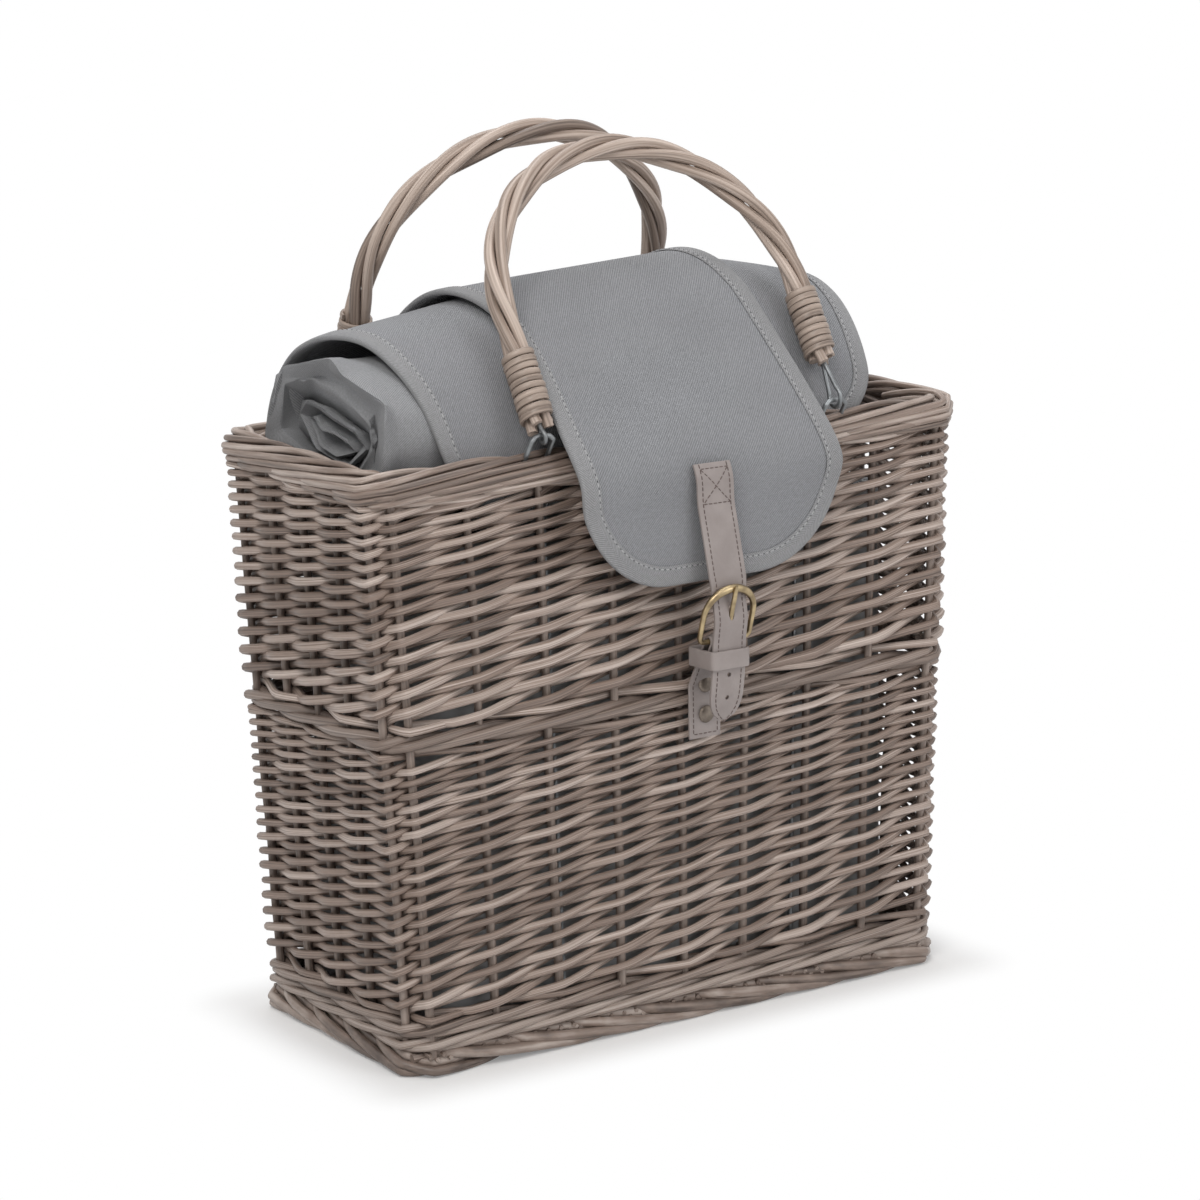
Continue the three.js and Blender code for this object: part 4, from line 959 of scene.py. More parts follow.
# Short rods along a line of points, the first at a share of the pitch
def stitchesAlong(points, pitch, length, radius, first=0.5):
    rods = []
    travelled = 0.0
    due = pitch * first
    for before, after in zip(points, points[1:]):
        step = (after - before).length
        while step > 0 and travelled + step >= due:
            middle = before.lerp(after, (due - travelled) / step)
            way = (after - before) / step
            ends = [middle + way * length * place for place, _ in stitchShape]
            rods.append(rod(ends, [radius * share for _, share in stitchShape], 0.5))
            due += pitch
        travelled += step
    return rods


# Round-cornered cloth that "at" lays out, its edge tape, and the stitches of the tape with short dark rods
# between them, painted shade of the needle holes
def boundSheet(name, at, settings, start, end, columns, rows):
    half = settings["half"] - edgeTape["clothInset"]
    clothEnd = end - edgeTape["clothInset"]
    corner = settings["corner"] - edgeTape["clothInset"]

    def spot(u, v):
        along = tongueAlong(start, clothEnd, corner, 1 - v)
        return tongueHalf(half, clothEnd, corner, along) * (2 * u - 1), along

    def placeAt(u, v):
        return at(*spot(u, v), edgeTape["clothLift"])

    pieces = [clothPiece(name + "_cloth", columns, rows, placeAt, spot, settings["thickness"])]
    outline = tongueOutline(settings["half"], start, end, settings["corner"], edgeTape["pitch"])
    pieces.append(tapePiece(name + "_tape", at, outline))
    inset = edgeTape["stitchInset"]
    line = [at(across - outX * inset, along - outY * inset, edgeTape["stitchLift"])
            for across, along, outX, outY in outline]
    for title, (length, radius, first) in edgeTape["seam"].items():
        rods = stitchesAlong(line, edgeTape["stitchPitch"], length, radius, first)
        pieces.append(rodMesh(name + "_" + title, rods, edgeTape["sides"]))
    return pieces


# Wide cover: an arch over the roll, from the back of the mouth to the front
coverBox = nodeBox("lid_cover_binding")
lidCover = {
    "half": (coverBox[1].x - coverBox[0].x) / 2,
    "shift": (coverBox[1].x + coverBox[0].x) / 2,
    "reach": (coverBox[1].y - coverBox[0].y) / 2,
    "middleY": (coverBox[1].y + coverBox[0].y) / 2,
    "spring": highBand[1].z,
    "rise": nodeBox("lid_cover")[1].z - highBand[1].z,
    "root": coverBox[0].z - highBand[1].z,  # start of the cloth below the spring of the arch
    "leftDrop": (11.0, 1.7),  # fall of the ridge towards the end, and its power
    "rightDrop": (27.0, 2.5),
    "corner": 40.0,
    "thickness": 2.4,
    "faceLift": 1.5,  # lift of the face that the arch is measured to
    "tilt": 0.075,  # right end stands higher
    "leftTaper": 0.17,  # how much shorter a side is at the front than at the ridge
    "rightTaper": 0.03,
    "backTaper": -0.3,  # share of that taper, the other way, at the back
    "tuck": 16.0,  # length at the front that goes down inside the rim
    "rightShort": (20.0, 40.0),  # how much shorter the right of the front is, and from where on
    "ripple": (1.3, 0.018, 0.022),  # height, rate across and along
    "grid": (48, 44),
}
lidCover["span"] = pi * (lidCover["reach"] + lidCover["rise"]) / 2


def ripple(settings, across, along, seed):
    size, acrossRate, alongRate = settings["ripple"]
    return size * noise.noise(Vector((across * acrossRate, along * alongRate, seed)))


def coverAt(across, along, lift):
    span = lidCover["span"]
    short, shortFrom = lidCover["rightShort"]
    along -= short * smoothStep(shortFrom, lidCover["half"], across) * clamp(2 * along / span - 1)
    angle = clamp(along, 0.0, span) / span * pi
    down = min(along, 0.0) + min(span - along, 0.0)
    outside = lift - lidCover["faceLift"]
    side = "left" if across < 0 else "right"
    across *= 1 - lidCover[side + "Taper"] * clamp(2 * along / span - 1, lidCover["backTaper"], 1.0)
    drop, power = lidCover[side + "Drop"]
    rise = lidCover["rise"] - drop * (abs(across) / lidCover["half"]) ** power + outside
    rise += lidCover["tilt"] * across + ripple(lidCover, across, along, 3.0)
    y = lidCover["middleY"] + (lidCover["reach"] + outside) * cos(angle)
    return Vector((lidCover["shift"] + across, y, lidCover["spring"] + rise * sin(angle) + down))


def makeCover():
    end = lidCover["span"] + lidCover["tuck"]
    pieces = boundSheet("lid_cover", coverAt, lidCover, lidCover["root"], end, *lidCover["grid"])
    cloth, tape, stitches, holes = pieces
    dress(cloth, "greyCloth", "basket", "grey_cloth", "lid_cover")
    dress(tape, "greyTape", "basket", "grey_tape", "lid_cover_binding")
    dress(stitches, "greyThread", "basket", "grey_tape")
    # dark rods of painted shade in the needle holes between the stitches
    dress(holes, "paintedHoleShade", "basket", "grey_tape")
    cut = (2 * lidCover["half"] * mm, (end - edgeTape["clothInset"] - lidCover["root"]) * mm)
    cut[0] * cut[1] - cornerLoss(lidCover["corner"])


# Flap: one cloth from its root behind the ridge, over the cover and down in front of the rim
flap = {
    "half": 92.0,
    "shift": 10.0,
    "rootShift": -37.0,
    "rootHalf": 80.0,
    "corner": 62.0,
    "lift": 2.4,  # middle of its cloth above the cover
    "rootRise": 3.0,
    "foldAngle": 135.0,
    "archSteps": 8,
    "standOff": 7.0,
    "hanging": [(8.0, 0.0), (41.5, 1.5), (83.0, 1.0)],  # stations below the rim, and out past the stand-off
    "linePoints": 440,
    "thickness": 2.4,
    "tilt": 0.065,
    "leftDrop": (1.0, -40.0, -115.0),  # fall of its ridge at the left, from where to where
    "topFrom": 10.0,  # height above the spring from which the tilt grows
    "low": 110.0,  # length of the stretch that curls and ripples
    "curl": (5.0, 10.0, -90.0),  # lower left corner stands away from the wall
    "press": (1.5, 20.0, 90.0),  # lower right corner lies closer to it
    "ripple": (1.2, 0.016, 0.014),
    "bend": 26.0,  # length over which it turns when it lifts
    "pinch": (8.0, 85.0),  # how far its left edge comes in at the fold, between the legs of the handle
    "grid": (36, 64),
}


def flapStations():
    rootAngle = asin((rimBox[1].z + flap["rootRise"] - lidCover["spring"]) / lidCover["rise"])
    stations = []
    for step in range(flap["archSteps"] + 1):
        angle = between(rootAngle, radians(flap["foldAngle"]), step / flap["archSteps"])
        y = lidCover["middleY"] + (lidCover["reach"] + flap["lift"]) * cos(angle)
        stations.append((0.0, y, lidCover["spring"] + (lidCover["rise"] + flap["lift"]) * sin(angle)))
    hang = rimBox[0].y - flap["standOff"]
    return stations + [(0.0, hang - out, rimBox[1].z - down) for down, out in flap["hanging"]]


def measuredLine(stations, count):
    points = [smoothThrough(stations, i / count) for i in range(count + 1)]
    lengths = [0.0]
    for first, second in zip(points, points[1:]):
        lengths.append(lengths[-1] + (second - first).length)
    return points, lengths


flapPoints, flapLengths = measuredLine(flapStations(), flap["linePoints"])
flapEnd = flapLengths[-1]
flapHinge = jointPlace("flap_lift")
foldIndex = min(range(len(flapPoints)), key=lambda i: (flapPoints[i].yz - flapHinge.yz).length)


def onLine(points, lengths, along):
    along = clamp(along, 0.0, lengths[-1])
    low = 0
    high = len(lengths) - 1
    while high - low > 1:
        middle = (low + high) // 2
        if lengths[middle] > along:
            high = middle
        else:
            low = middle
    share = (along - lengths[low]) / (lengths[high] - lengths[low])
    return points[low].lerp(points[high], share), (points[high] - points[low]).normalized()


# One of the flap's settings of (size, from, to), at a place across it
def partAt(title, across):
    size, start, end = flap[title]
    return size * smoothStep(start, end, across)


def flapAt(across, along, lift):
    point, forward = onLine(flapPoints, flapLengths, along)
    share = clamp(along / (flapEnd - flap["corner"]))
    pinch, reach = flap["pinch"]
    x = between(flap["rootShift"], flap["shift"], share)
    x += across * between(flap["rootHalf"], flap["half"], share) / flap["half"]
    x += pinch * smoothStep(reach, 0.0, abs(along - flapLengths[foldIndex])) * clamp(-across / flap["half"])
    onTop = smoothStep(lidCover["spring"] + flap["topFrom"], lidCover["spring"] + lidCover["rise"], point.z)
    low = smoothStep(flapEnd - flap["low"], flapEnd, along)
    out = lift + low * (partAt("curl", across) - partAt("press", across) + ripple(flap, x, along, 8.0))
    ridge = flap["tilt"] * x - partAt("leftDrop", x)
    return Vector((x, point.y + out * forward.z, point.z - out * forward.y + ridge * onTop))


def makeFlap():
    pieces = boundSheet("flap", flapAt, flap, 0.0, flapEnd, *flap["grid"])
    # the last look is painted shade for the needle holes between the tape stitches
    looks = (("greyCloth", "grey_cloth"), ("greyTape", "grey_tape"), ("greyThread", "grey_tape"),
             ("paintedHoleShade", "grey_tape"))
    for piece, (look, slot) in zip(pieces, looks):
        piece.data.materials.append(finish[look])
        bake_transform(piece)
    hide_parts("flap_top", "flap_front")
    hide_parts("flap_top_binding_left", "flap_top_binding_right", "flap_front_binding")
    cut = (2 * flap["half"] * mm, flapEnd * mm)
    mean = (flap["half"] + flap["rootHalf"]) / (2 * flap["half"])
    cut[0] * cut[1] * mean - cornerLoss(flap["corner"])


# Rolled neck of the bag: a cage of flat folds, pushed in at its ends and smoothed between the creases
rolledNeck = {
    "left": nodeBox("rolled_neck")[0].x,
    "right": nodeBox("rolled_neck")[1].x,
    "middle": (7.0, 350.0),  # Y and Z of its middle line
    "half": (65.0, 56.0),
    # folds of an end from its edge inwards: crease, then corners (Y, Z, depth) from the back over the top
    "folds": [
        (0.95, [(78, 352, 0), (53, 395, 0), (-4, 406, 0), (-17, 397, 1), (-59, 386, 4), (-50, 345, 5),
                (-8, 312, 5), (45, 315, 4)]),
        (0.4, [(74, 351, 2), (58, 387, 1), (24, 391, 12), (2, 391, 12), (-31, 377, 14), (-23, 343, 16),
               (8, 325, 18), (45, 328, 12)]),
        (0.95, [(67, 356, 6), (55, 384, 3), (32, 390, 8), (3, 384, 8), (-32, 372, 8), (-33, 361, 12),
                (-3, 335, 14), (45, 344, 12)]),
        (0.5, [(65, 356, 17), (65, 373, 19), (60, 369, 26), (43, 366, 25), (14, 363, 24), (6, 357, 29),
               (30, 338, 33), (63, 345, 26)]),
        (0.95, [(57, 366, 13), (44, 375, 11), (24, 374, 9), (4, 370, 7), (-17, 364, 9), (-22, 355, 12),
                (4, 341, 14), (40, 347, 14)]),
        (0.4, [(50, 361, 26), (42, 367, 28), (24, 366, 26), (6, 362, 24), (-8, 358, 26), (-11, 353, 28),
               (8, 346, 30), (36, 350, 28)]),
        (0.95, [(47, 364, 15), (34, 367, 9), (19, 361, 6), (11, 360, 9), (-3, 357, 9), (-6, 351, 14),
                (13, 346, 12), (29, 351, 9)]),
    ],
    "heart": (22, 356, 26),
    "radialCrease": 0.6,
    "cutShare": 0.6,  # of the flat rectangle that the tapered cut covers
    "rightSize": 0.8,  # of the right end, which lies hidden under the cover
    "outside": [(12.0, 0.45), (40.0, 0.85), (110.0, 1.0)],  # distance from an end, how far it is an even oval
    "ripple": (0.9, 0.08),
    "thickness": 1.4,
    "smooth": 3,
    "sharp": 38.0,
}


# Rings of places from the heart of one end to the outside, each with its crease
def neckRings(x, inward, size):
    middleY, middleZ = rolledNeck["middle"]
    halfY, halfZ = rolledNeck["half"]
    middle = Vector((0, middleY, middleZ))
    edge = rolledNeck["folds"][0][1]
    heartY, heartZ, heartDeep = rolledNeck["heart"]
    rings = [([Vector((x + inward * heartDeep, heartY, heartZ))] * len(edge), 0.0)]
    for crease, corners in reversed(rolledNeck["folds"]):
        rings.append(([Vector((x + inward * deep, y, z)) for y, z, deep in corners], crease))
    for along, even in rolledNeck["outside"]:
        ring = []
        for y, z, _ in edge:
            angle = atan2((z - middleZ) / halfZ, (y - middleY) / halfY)
            oval = middle + Vector((0, halfY * cos(angle), halfZ * sin(angle)))
            ring.append(Vector((0, y, z)).lerp(oval, even) + Vector((x + inward * along, 0, 0)))
        rings.append((ring, 0.0))
    for ring, _ in rings:
        ring[:] = [(place - middle) * Vector((1, size, size)) + middle for place in ring]
    return rings


def makeNeck():
    rings = neckRings(rolledNeck["left"], 1, 1.0)
    rings += neckRings(rolledNeck["right"], -1, rolledNeck["rightSize"])[::-1]
    columns = len(rings[0][0])
    rows = len(rings) - 1
    runs = [0.0]
    for (first, _), (second, _) in zip(rings, rings[1:]):
        runs.append(runs[-1] + sum((b - a).length for a, b in zip(first, second)) / columns)
    girth = pi * sum(rolledNeck["half"])

    def placeAt(u, v):
        return rings[round(v * rows)][0][round(u * columns) % columns]

    def flatAt(u, v):
        return Vector((u * girth, runs[round(v * rows)])) * mm

    def creaseAt(first, second):
        sharper = max(rings[first][1], rings[second][1])
        return sharper if first == second else rolledNeck["radialCrease"] * sharper

    bm = shapedGrid(columns, rows, placeAt, flatAt, creaseAt)
    closeMesh(bm)
    neck = meshObject("rolled_neck_cloth", bm)
    addModifier(neck, "SUBSURF", levels=rolledNeck["smooth"], render_levels=rolledNeck["smooth"])
    applyModifiers(neck)
    height, rate = rolledNeck["ripple"]
    for vert in neck.data.vertices:
        vert.co += vert.normal * mm * height * noise.noise(vert.co / mm * rate)
    addModifier(neck, "SOLIDIFY", thickness=rolledNeck["thickness"] * mm, offset=-1.0)
    applyModifiers(neck)
    neck.data.set_sharp_from_angle(angle=radians(rolledNeck["sharp"]))
    dress(neck, "neckCloth", "basket", "grey_cloth", "rolled_neck")


# Bag in the basket and its foil lining: bevelled blocks, open at the top, that sag between their corners
coolerBag = {
    "cornerSteps": 5,
    "cuts": (16, 8, 14),  # parts along X, Y and Z
    "sagRate": 0.02,
    "fill": 0.8,
    # corner, thickness of the wall, sag, seed
    "cooler_shell": (24.0, 5.0, 2.0, 3.0),
    "cooler_lining": (17.0, 0.8, 0.6, 7.0),
}


def bagPiece(name, node):
    corner, thickness, sag, seed = coolerBag[node]
    low, high = nodeBox(node)
    size = high - low
    middle = (low + high) / 2
    bm = bmesh.new()
    bmesh.ops.create_cube(bm, size=1.0, matrix=Matrix.Translation(middle) @ Matrix.Diagonal((*size, 1.0)))
    upright = [e for e in bm.edges if abs(e.verts[0].co.z - e.verts[1].co.z) > 1.0]
    bmesh.ops.bevel(bm, geom=upright, offset=corner, segments=coolerBag["cornerSteps"], profile=0.5,
                    affect="EDGES", material=-1)
    top = [f for f in bm.faces if f.calc_center_median().z > high.z - 0.1]
    bmesh.ops.delete(bm, geom=top, context="FACES_ONLY")
    for axis in (2, 0, 1):
        way = Vector([float(axis == other) for other in range(3)])
        parts = coolerBag["cuts"][axis]
        for part in range(1, parts):
            cutAt = middle + way * (size[axis] * (part / parts - 0.5))
            whole = bm.verts[:] + bm.edges[:] + bm.faces[:]
            bmesh.ops.bisect_plane(bm, geom=whole, plane_co=cutAt, plane_no=way)
    bm.normal_update()
    for vert in bm.verts:
        inward = abs(noise.noise(Vector(vert.co) * coolerBag["sagRate"] + Vector((seed, 0, 0))))
        vert.co -= vert.normal * sag * inward
        vert.co *= mm
    for face in bm.faces:
        face.smooth = True
    piece = meshObject(name, bm)
    addModifier(piece, "SOLIDIFY", thickness=thickness * mm, offset=-1.0)
    applyModifiers(piece)
    return piece


def makeBag():
    shell = bagPiece("cooler_shell_cloth", "cooler_shell")
    # shell cloth painted lighter than the neck's: painted light in the shaded gaps of the weave
    dress(shell, "paintedLightBagCloth", "basket", "grey_cloth", "cooler_shell")
    lining = bagPiece("cooler_lining_foil", "cooler_lining")
    dress(lining, "foilLining", "basket", "foil", "cooler_lining")


# Handles: four rods twisted together, whipped at both ends and hung from wire eyes

handles = {
    "half": (nodeBox("front_right_anchor")[0].x - nodeBox("front_left_anchor")[0].x) / 2,
    "legTop": 76.0,
    "arch": 96.0,
    # side: starts of the left and right leg above the pivot, lean in degrees, turned about, seed
    "sides": {"front": ((8.0, 28.0), 30.0, False, 20), "rear": ((17.0, 17.0), 22.998, True, 60)},
    "rods": 4,
    "rodRadius": 3.1,
    "rodSides": 14,
    "ring": 4.67,  # from the middle of the bundle to the middle of a rod
    "twists": 2.5,
    "steps": 110,
    "past": (6.0, 1.0, 5.0, 2.0),  # how far each rod runs past both ends of the bundle
    "length": 480.0,
    # rate and size: of the twist, of the ring, of the rods' girth
    "wavers": ((14, 0.16), (11, 0.05), (17, 0.1)),
    "girth": 1.03,
}
whipping = {
    "turns": 10,
    "steps": 20,  # in a turn
    "pitch": 4.0,
    "rise": 1.0,
    "half": 1.85,
    "thick": 1.0,
    "wander": (0.09, 0.8),
    "swell": (1.1, 0.12, 0.3),  # mean, rate and size
    "square": 3.0,
    "around": 14,
}
handleEye = {
    "wire": 1.3,
    "ring": {8.0: 3.6, 17.0: 4.2, 28.0: 6.4},  # radius of the drop, by the height of the rods above the pivot
    "low": 4.4,  # lowest point of the wire's middle below the pivot
    "stem": 40.0,
    "apart": (1.0, 0.8),  # half of the space between its two stems
    "sweep": (35.0, 250.0),  # degrees, from its start, round the drop
    "steps": 24,
    "sides": 10,
}


def handleWorld(side, place):
    _, lean, turned, _ = handles["sides"][side]
    tilt = radians(lean)
    y = place.y * cos(tilt) + place.z * sin(tilt)
    z = place.z * cos(tilt) - place.y * sin(tilt)
    way = -1 if turned else 1
    return jointPlace(side + "_handle_swing") + Vector((way * place.x, way * y, z))


# Middle line of the bundle and its outward side, from the lower end of one leg to that of the other
def handleLine(share, starts):
    half = handles["half"]
    arch = pi * (half + handles["arch"]) / 2
    first = handles["legTop"] - starts[0]
    last = handles["legTop"] - starts[1]
    run = share * (first + arch + last)
    left = first + arch + last - run
    if run < first:
        return Vector((-half, 0, starts[0] + run)), Vector((-1, 0, 0))
    if left < last:
        return Vector((half, 0, starts[1] + left)), Vector((1, 0, 0))
    angle = pi * (left - last) / arch
    side = Vector((cos(angle) / half, 0, sin(angle) / handles["arch"])).normalized()
    return Vector((half * cos(angle), 0, handles["legTop"] + handles["arch"] * sin(angle))), side


def handleRod(side, index, chance):
    starts, _, _, seed = handles["sides"][side]
    seed += index
    phase = 2 * pi * (index + 0.5) / handles["rods"]
    below = handles["past"][index] / handles["length"]
    (twistRate, twistSize), (ringRate, ringSize), (girthRate, girthSize) = handles["wavers"]
    line = []
    radii = []
    for step in range(handles["steps"] + 1):
        share = between(-below, 1 + below, step / handles["steps"])
        middle, out = handleLine(share, starts)
        angle = phase + 2 * pi * handles["twists"] * share + waver(seed, share * twistRate, twistSize)
        ring = handles["ring"] * (1 + waver(seed + 5, share * ringRate, ringSize))
        place = middle + out * ring * cos(angle) + Vector((0, ring * sin(angle), 0))
        line.append(handleWorld(side, place))
        girth = handles["girth"] + waver(seed + 9, share * girthRate, girthSize)
        radii.append(handles["rodRadius"] * girth)
    return rod(line, radii, chance.random())


# Sweeps a flat rounded section along frames of (middle, side, out, half width, half thickness)
def sweptBand(name, frames, closed=False, square=7.0, around=28):
    stations = len(frames)
    rows = stations if closed else stations - 1
    lengths = [0.0]
    for first, second in zip(frames, frames[1:] + frames[:1]):
        lengths.append(lengths[-1] + (second[0] - first[0]).length)

    def squared(value):
        return abs(value) ** (2 / square) * (1 if value > 0 else -1)

    def placeAt(u, v):
        middle, side, out, wide, thick = frames[round(v * rows) % stations]
        turn = 2 * pi * u
        return middle + side * wide * squared(cos(turn)) + out * thick * squared(sin(turn))

    bm = shapedGrid(around, rows, placeAt, lambda u, v: (u, lengths[round(v * rows)] / lengths[rows]))
    bmesh.ops.remove_doubles(bm, verts=bm.verts, dist=rodFinish["merge"] * mm)
    if not closed:
        bmesh.ops.holes_fill(bm, edges=[e for e in bm.edges if e.is_boundary], sides=0)
    bmesh.ops.recalc_face_normals(bm, faces=bm.faces)
    piece = meshObject(name, bm)
    for title, value in (("tone", 0.5), ("run", lengths[rows] * mm)):
        markFaces(piece.data, title, [value] * len(piece.data.polygons))
    piece.data.set_sharp_from_angle(angle=radians(50))
    return piece


def whippingFrames(side, legX, start):
    ring = handles["ring"] + handles["rodRadius"]
    wanderRate, wanderSize = whipping["wander"]
    mean, swellRate, swellSize = whipping["swell"]
    frames = []
    for step in range(whipping["turns"] * whipping["steps"] + 1):
        turn = step / whipping["steps"]
        wander = waver(start + legX, step * wanderRate, wanderSize)
        height = start + whipping["rise"] + whipping["pitch"] * turn + wander
        thick = whipping["thick"] * (mean + waver(start - legX, step * swellRate, swellSize))
        out = Vector((cos(2 * pi * turn), sin(2 * pi * turn), 0)) * (ring + thick)
        base = handleWorld(side, Vector((legX, 0, height)))
        upper = handleWorld(side, Vector((legX, 0, height + 1)))
        middle = handleWorld(side, Vector((legX, 0, height)) + out)
        frames.append((middle, upper - base, (middle - base).normalized(), whipping["half"], thick))
    return frames


def eyeRod(side, legX, start, chance):
    ring = handleEye["ring"][start]
    centre = ring - handleEye["low"]
    apartX, apartY = handleEye["apart"]
    first, sweep = handleEye["sweep"]
    steps = handleEye["steps"]
    heights = (start + handleEye["stem"], start + whipping["rise"])
    line = [Vector((legX + apartX, apartY, height)) for height in heights]
    for step in range(steps + 1):
        angle = radians(first - sweep * step / steps)
        x = legX + between(apartX, -apartX, step / steps)
        line.append(Vector((x, ring * cos(angle), centre + ring * sin(angle))))
    line += [Vector((legX - apartX, -apartY, height)) for height in reversed(heights)]
    world = [handleWorld(side, place) for place in line]
    return rod(world, [handleEye["wire"]] * len(world), chance.random())


def makeHandles():
    chance = random.Random(53)
    for side, (starts, _, turned, _) in handles["sides"].items():
        body = side + "_handle"
        for index in range(handles["rods"]):
            name = f"{side}_handle_rod_{index + 1}"
            piece = rodMesh(name + "_bark", [handleRod(side, index, chance)], handles["rodSides"])
            dress(piece, "handleWillow", body, "willow", name)
        for end, start in enumerate(starts):
            legX = (-1, 1)[end] * handles["half"]
            word = "right" if (end == 0) == turned else "left"
            turns = whippingFrames(side, legX, start)
            band = sweptBand(f"{side}_whipping_{word}_band", turns, square=whipping["square"],
                             around=whipping["around"])
            dress(band, "splitWillow", body, "split_willow", f"{side}_handle_whipping_{word}")
            eye = rodMesh(f"{side}_eye_{word}_wire", [eyeRod(side, legX, start, chance)], handleEye["sides"])
            dress(eye, "zincWire", body, "zinc_wire", f"{side}_handle_eye_{word}")


# Wire anchors: a loop over the border, whose legs go in at its top and down inside the wall
anchors = {
    "span": 14.5,
    "round": 5.0,
    "inset": 11.0,  # of its legs, inside the wall
    "enter": (6.5, 5.0),  # where they go into the border: behind the weave, below the rim
    "shortLeg": 65.0,
    "wire": 1.5,
    "beside": 5.0,  # from the stake that the long leg runs beside
    "belowRim": 4.0,
    "shoulder": 2.0,  # straight stretch of the loop above its legs
    "sides": 10,
}


def anchorLine(node, pivot):
    low, high = nodeBox(node)
    middle = (low.x + high.x) / 2
    way = -1 if middle < 0 else 1
    front = -1 if pivot.y < wall["middleY"] else 1
    enter, enterDrop = anchors["enter"]
    legY = wall["middleY"] + front * (wall["halfDepth"] - anchors["inset"])
    enterY = wall["middleY"] + front * (wall["halfDepth"] - enter)
    half = anchors["span"] / 2
    turn = anchors["round"]
    rimFoot = rimBox[0].z

    def upper(x):
        return [Vector((x, legY, rimFoot)), Vector((x, enterY, rimBox[1].z - enterDrop)),
                Vector((x, pivot.y, pivot.z - turn + anchors["shoulder"]))]

    longX = middle + way * half
    legTop = Vector((longX, legY, rimFoot))
    stake = min(range(stakes), key=lambda s: (wallPoint(s, 0.0, rimFoot) - legTop).length)
    aside = Vector((-way * anchors["beside"], 0, 0))
    bottom = low.z + 1
    longLeg = [wallPoint(stake, stakeRods["inset"] - anchors["inset"], height) + aside
               for height in (bottom, (bottom + rimFoot) / 2, rimFoot - anchors["belowRim"])]
    shortX = middle - way * half
    shortLeg = [Vector((shortX, legY, height))
                for height in (pivot.z - anchors["shortLeg"], rimFoot - anchors["belowRim"])]
    crown = [Vector((middle + way * (half - turn * (1 - cos(t))), pivot.y, pivot.z - turn * (1 - sin(t))))
             for t in (pi / 6, pi / 3, pi / 2)]
    back = [Vector((2 * middle - place.x, place.y, place.z)) for place in reversed(crown)]
    return longLeg + upper(longX) + crown + back + (shortLeg + upper(shortX))[::-1]


def makeAnchors():
    for side in ("front", "rear"):
        pivot = jointPlace(side + "_handle_swing")
        for word in ("left", "right"):
            node = f"{side}_{word}_anchor"
            line = anchorLine(node, pivot)
            piece = rodMesh(node + "_wire", [rod(line, [anchors["wire"]] * len(line), 0.5)], anchors["sides"])
            dress(piece, "zincWire", "basket", "zinc_wire", node)


# Fastening: strap, chape, keeper, buckle, prong and rivets
barPlace = jointPlace("buckle_tilt")
strapBox = nodeBox("strap")
chapeBox = nodeBox("chape")
strapX = (strapBox[0].x + strapBox[1].x) / 2
strapSet = {
    "half": (strapBox[1].x - strapBox[0].x) / 2,
    "widen": (1.2, 22.0, 40.0),  # above the buckle, from and to these heights above the bar
    "thick": 1.1,
    "lift": 4.5,
    "lean": 4.5,  # how far its sewn end lies to the left
    "standOff": 11.0,
    "bow": 1.25,  # how late it leaves the flap
    "bulge": (2.2, 13.0, 9.0),  # where the prong comes through: size, height above the bar, half length
    "tailLean": 7.0,
    "tip": 18.0,
    "tipRound": 2.2,
    "tipHalf": 0.8,
    "steps": 40,
    "slot": (17.0, 1.9, 4.5),  # height above the bar, half width and half height
    "holes": [-20.0, -34.0],
    "holeRadius": 1.4,
    "cutDeep": 8.0,
    "boxStart": 0.8,  # sewn box with its cross, in steps of the strap
    "boxLength": 5.3,
    "crossSteps": 10,
}
leatherStitch = {"inset": 3.2, "pitch": 3.3, "length": 2.5, "radius": 0.3, "lift": 0.1, "sides": 6}


# Place along the flap at a height in front
def flapHeightPlace(height):
    low = flapLengths[len(flapLengths) // 2]
    high = flapEnd
    for _ in range(40):
        middle = (low + high) / 2
        if onLine(flapPoints, flapLengths, middle)[0].z > height:
            low = middle
        else:
            high = middle
    return low


def strapLine():
    top = strapBox[1].z
    tip = strapBox[0].z
    flapFoot = flapPoints[-1].z
    strapY = flapPoints[-1].y - strapSet["lift"] - strapSet["standOff"]
    bulge, bulgeUp, bulgeHalf = strapSet["bulge"]
    line = []
    for step in range(strapSet["steps"] + 1):
        height = between(top, tip, step / strapSet["steps"])
        onFlap = (height - flapFoot) / (top - flapFoot)
        if onFlap > 0:
            y = flapAt(0.0, flapHeightPlace(height), strapSet["lift"]).y
            y -= strapSet["standOff"] * (1 - onFlap) ** strapSet["bow"]
        else:
            share = clamp((barPlace.z - height) / (barPlace.z - tip))
            y = strapY + strapSet["tailLean"] * share * share
            y -= bulge * exp(-((height - barPlace.z - bulgeUp) / bulgeHalf) ** 2)
        line.append(Vector((strapX - strapSet["lean"] * clamp(onFlap), y, height)))
    return line


# Frames of a band along a line in the YZ plane, whose face is on one side of the way it runs
def bandFrames(line, halfAt, thick, face):
    frames = []
    for index, place in enumerate(line):
        along = (line[min(index + 1, len(line) - 1)] - line[max(index - 1, 0)]).normalized()
        frames.append((place, Vector((1, 0, 0)), face * Vector((0, along.z, -along.y)), halfAt(index), thick))
    return frames


def cutHoles(piece, cutters):
    for cutter in cutters:
        addModifier(piece, "BOOLEAN", operation="DIFFERENCE", object=cutter)
    applyModifiers(piece)
    for cutter in cutters:
        bpy.data.objects.remove(cutter)


def ovalCutter(name, place, wide, tall, deep):
    bm = bmesh.new()
    turn = Matrix.Rotation(pi / 2, 4, "X")
    size = Matrix.Diagonal((wide * mm, deep * mm, tall * mm, 1.0))
    bmesh.ops.create_cone(bm, cap_ends=True, segments=20, radius1=1.0, radius2=1.0, depth=2.0,
                          matrix=Matrix.Translation(place * mm) @ size @ turn)
    return meshObject(name, bm)


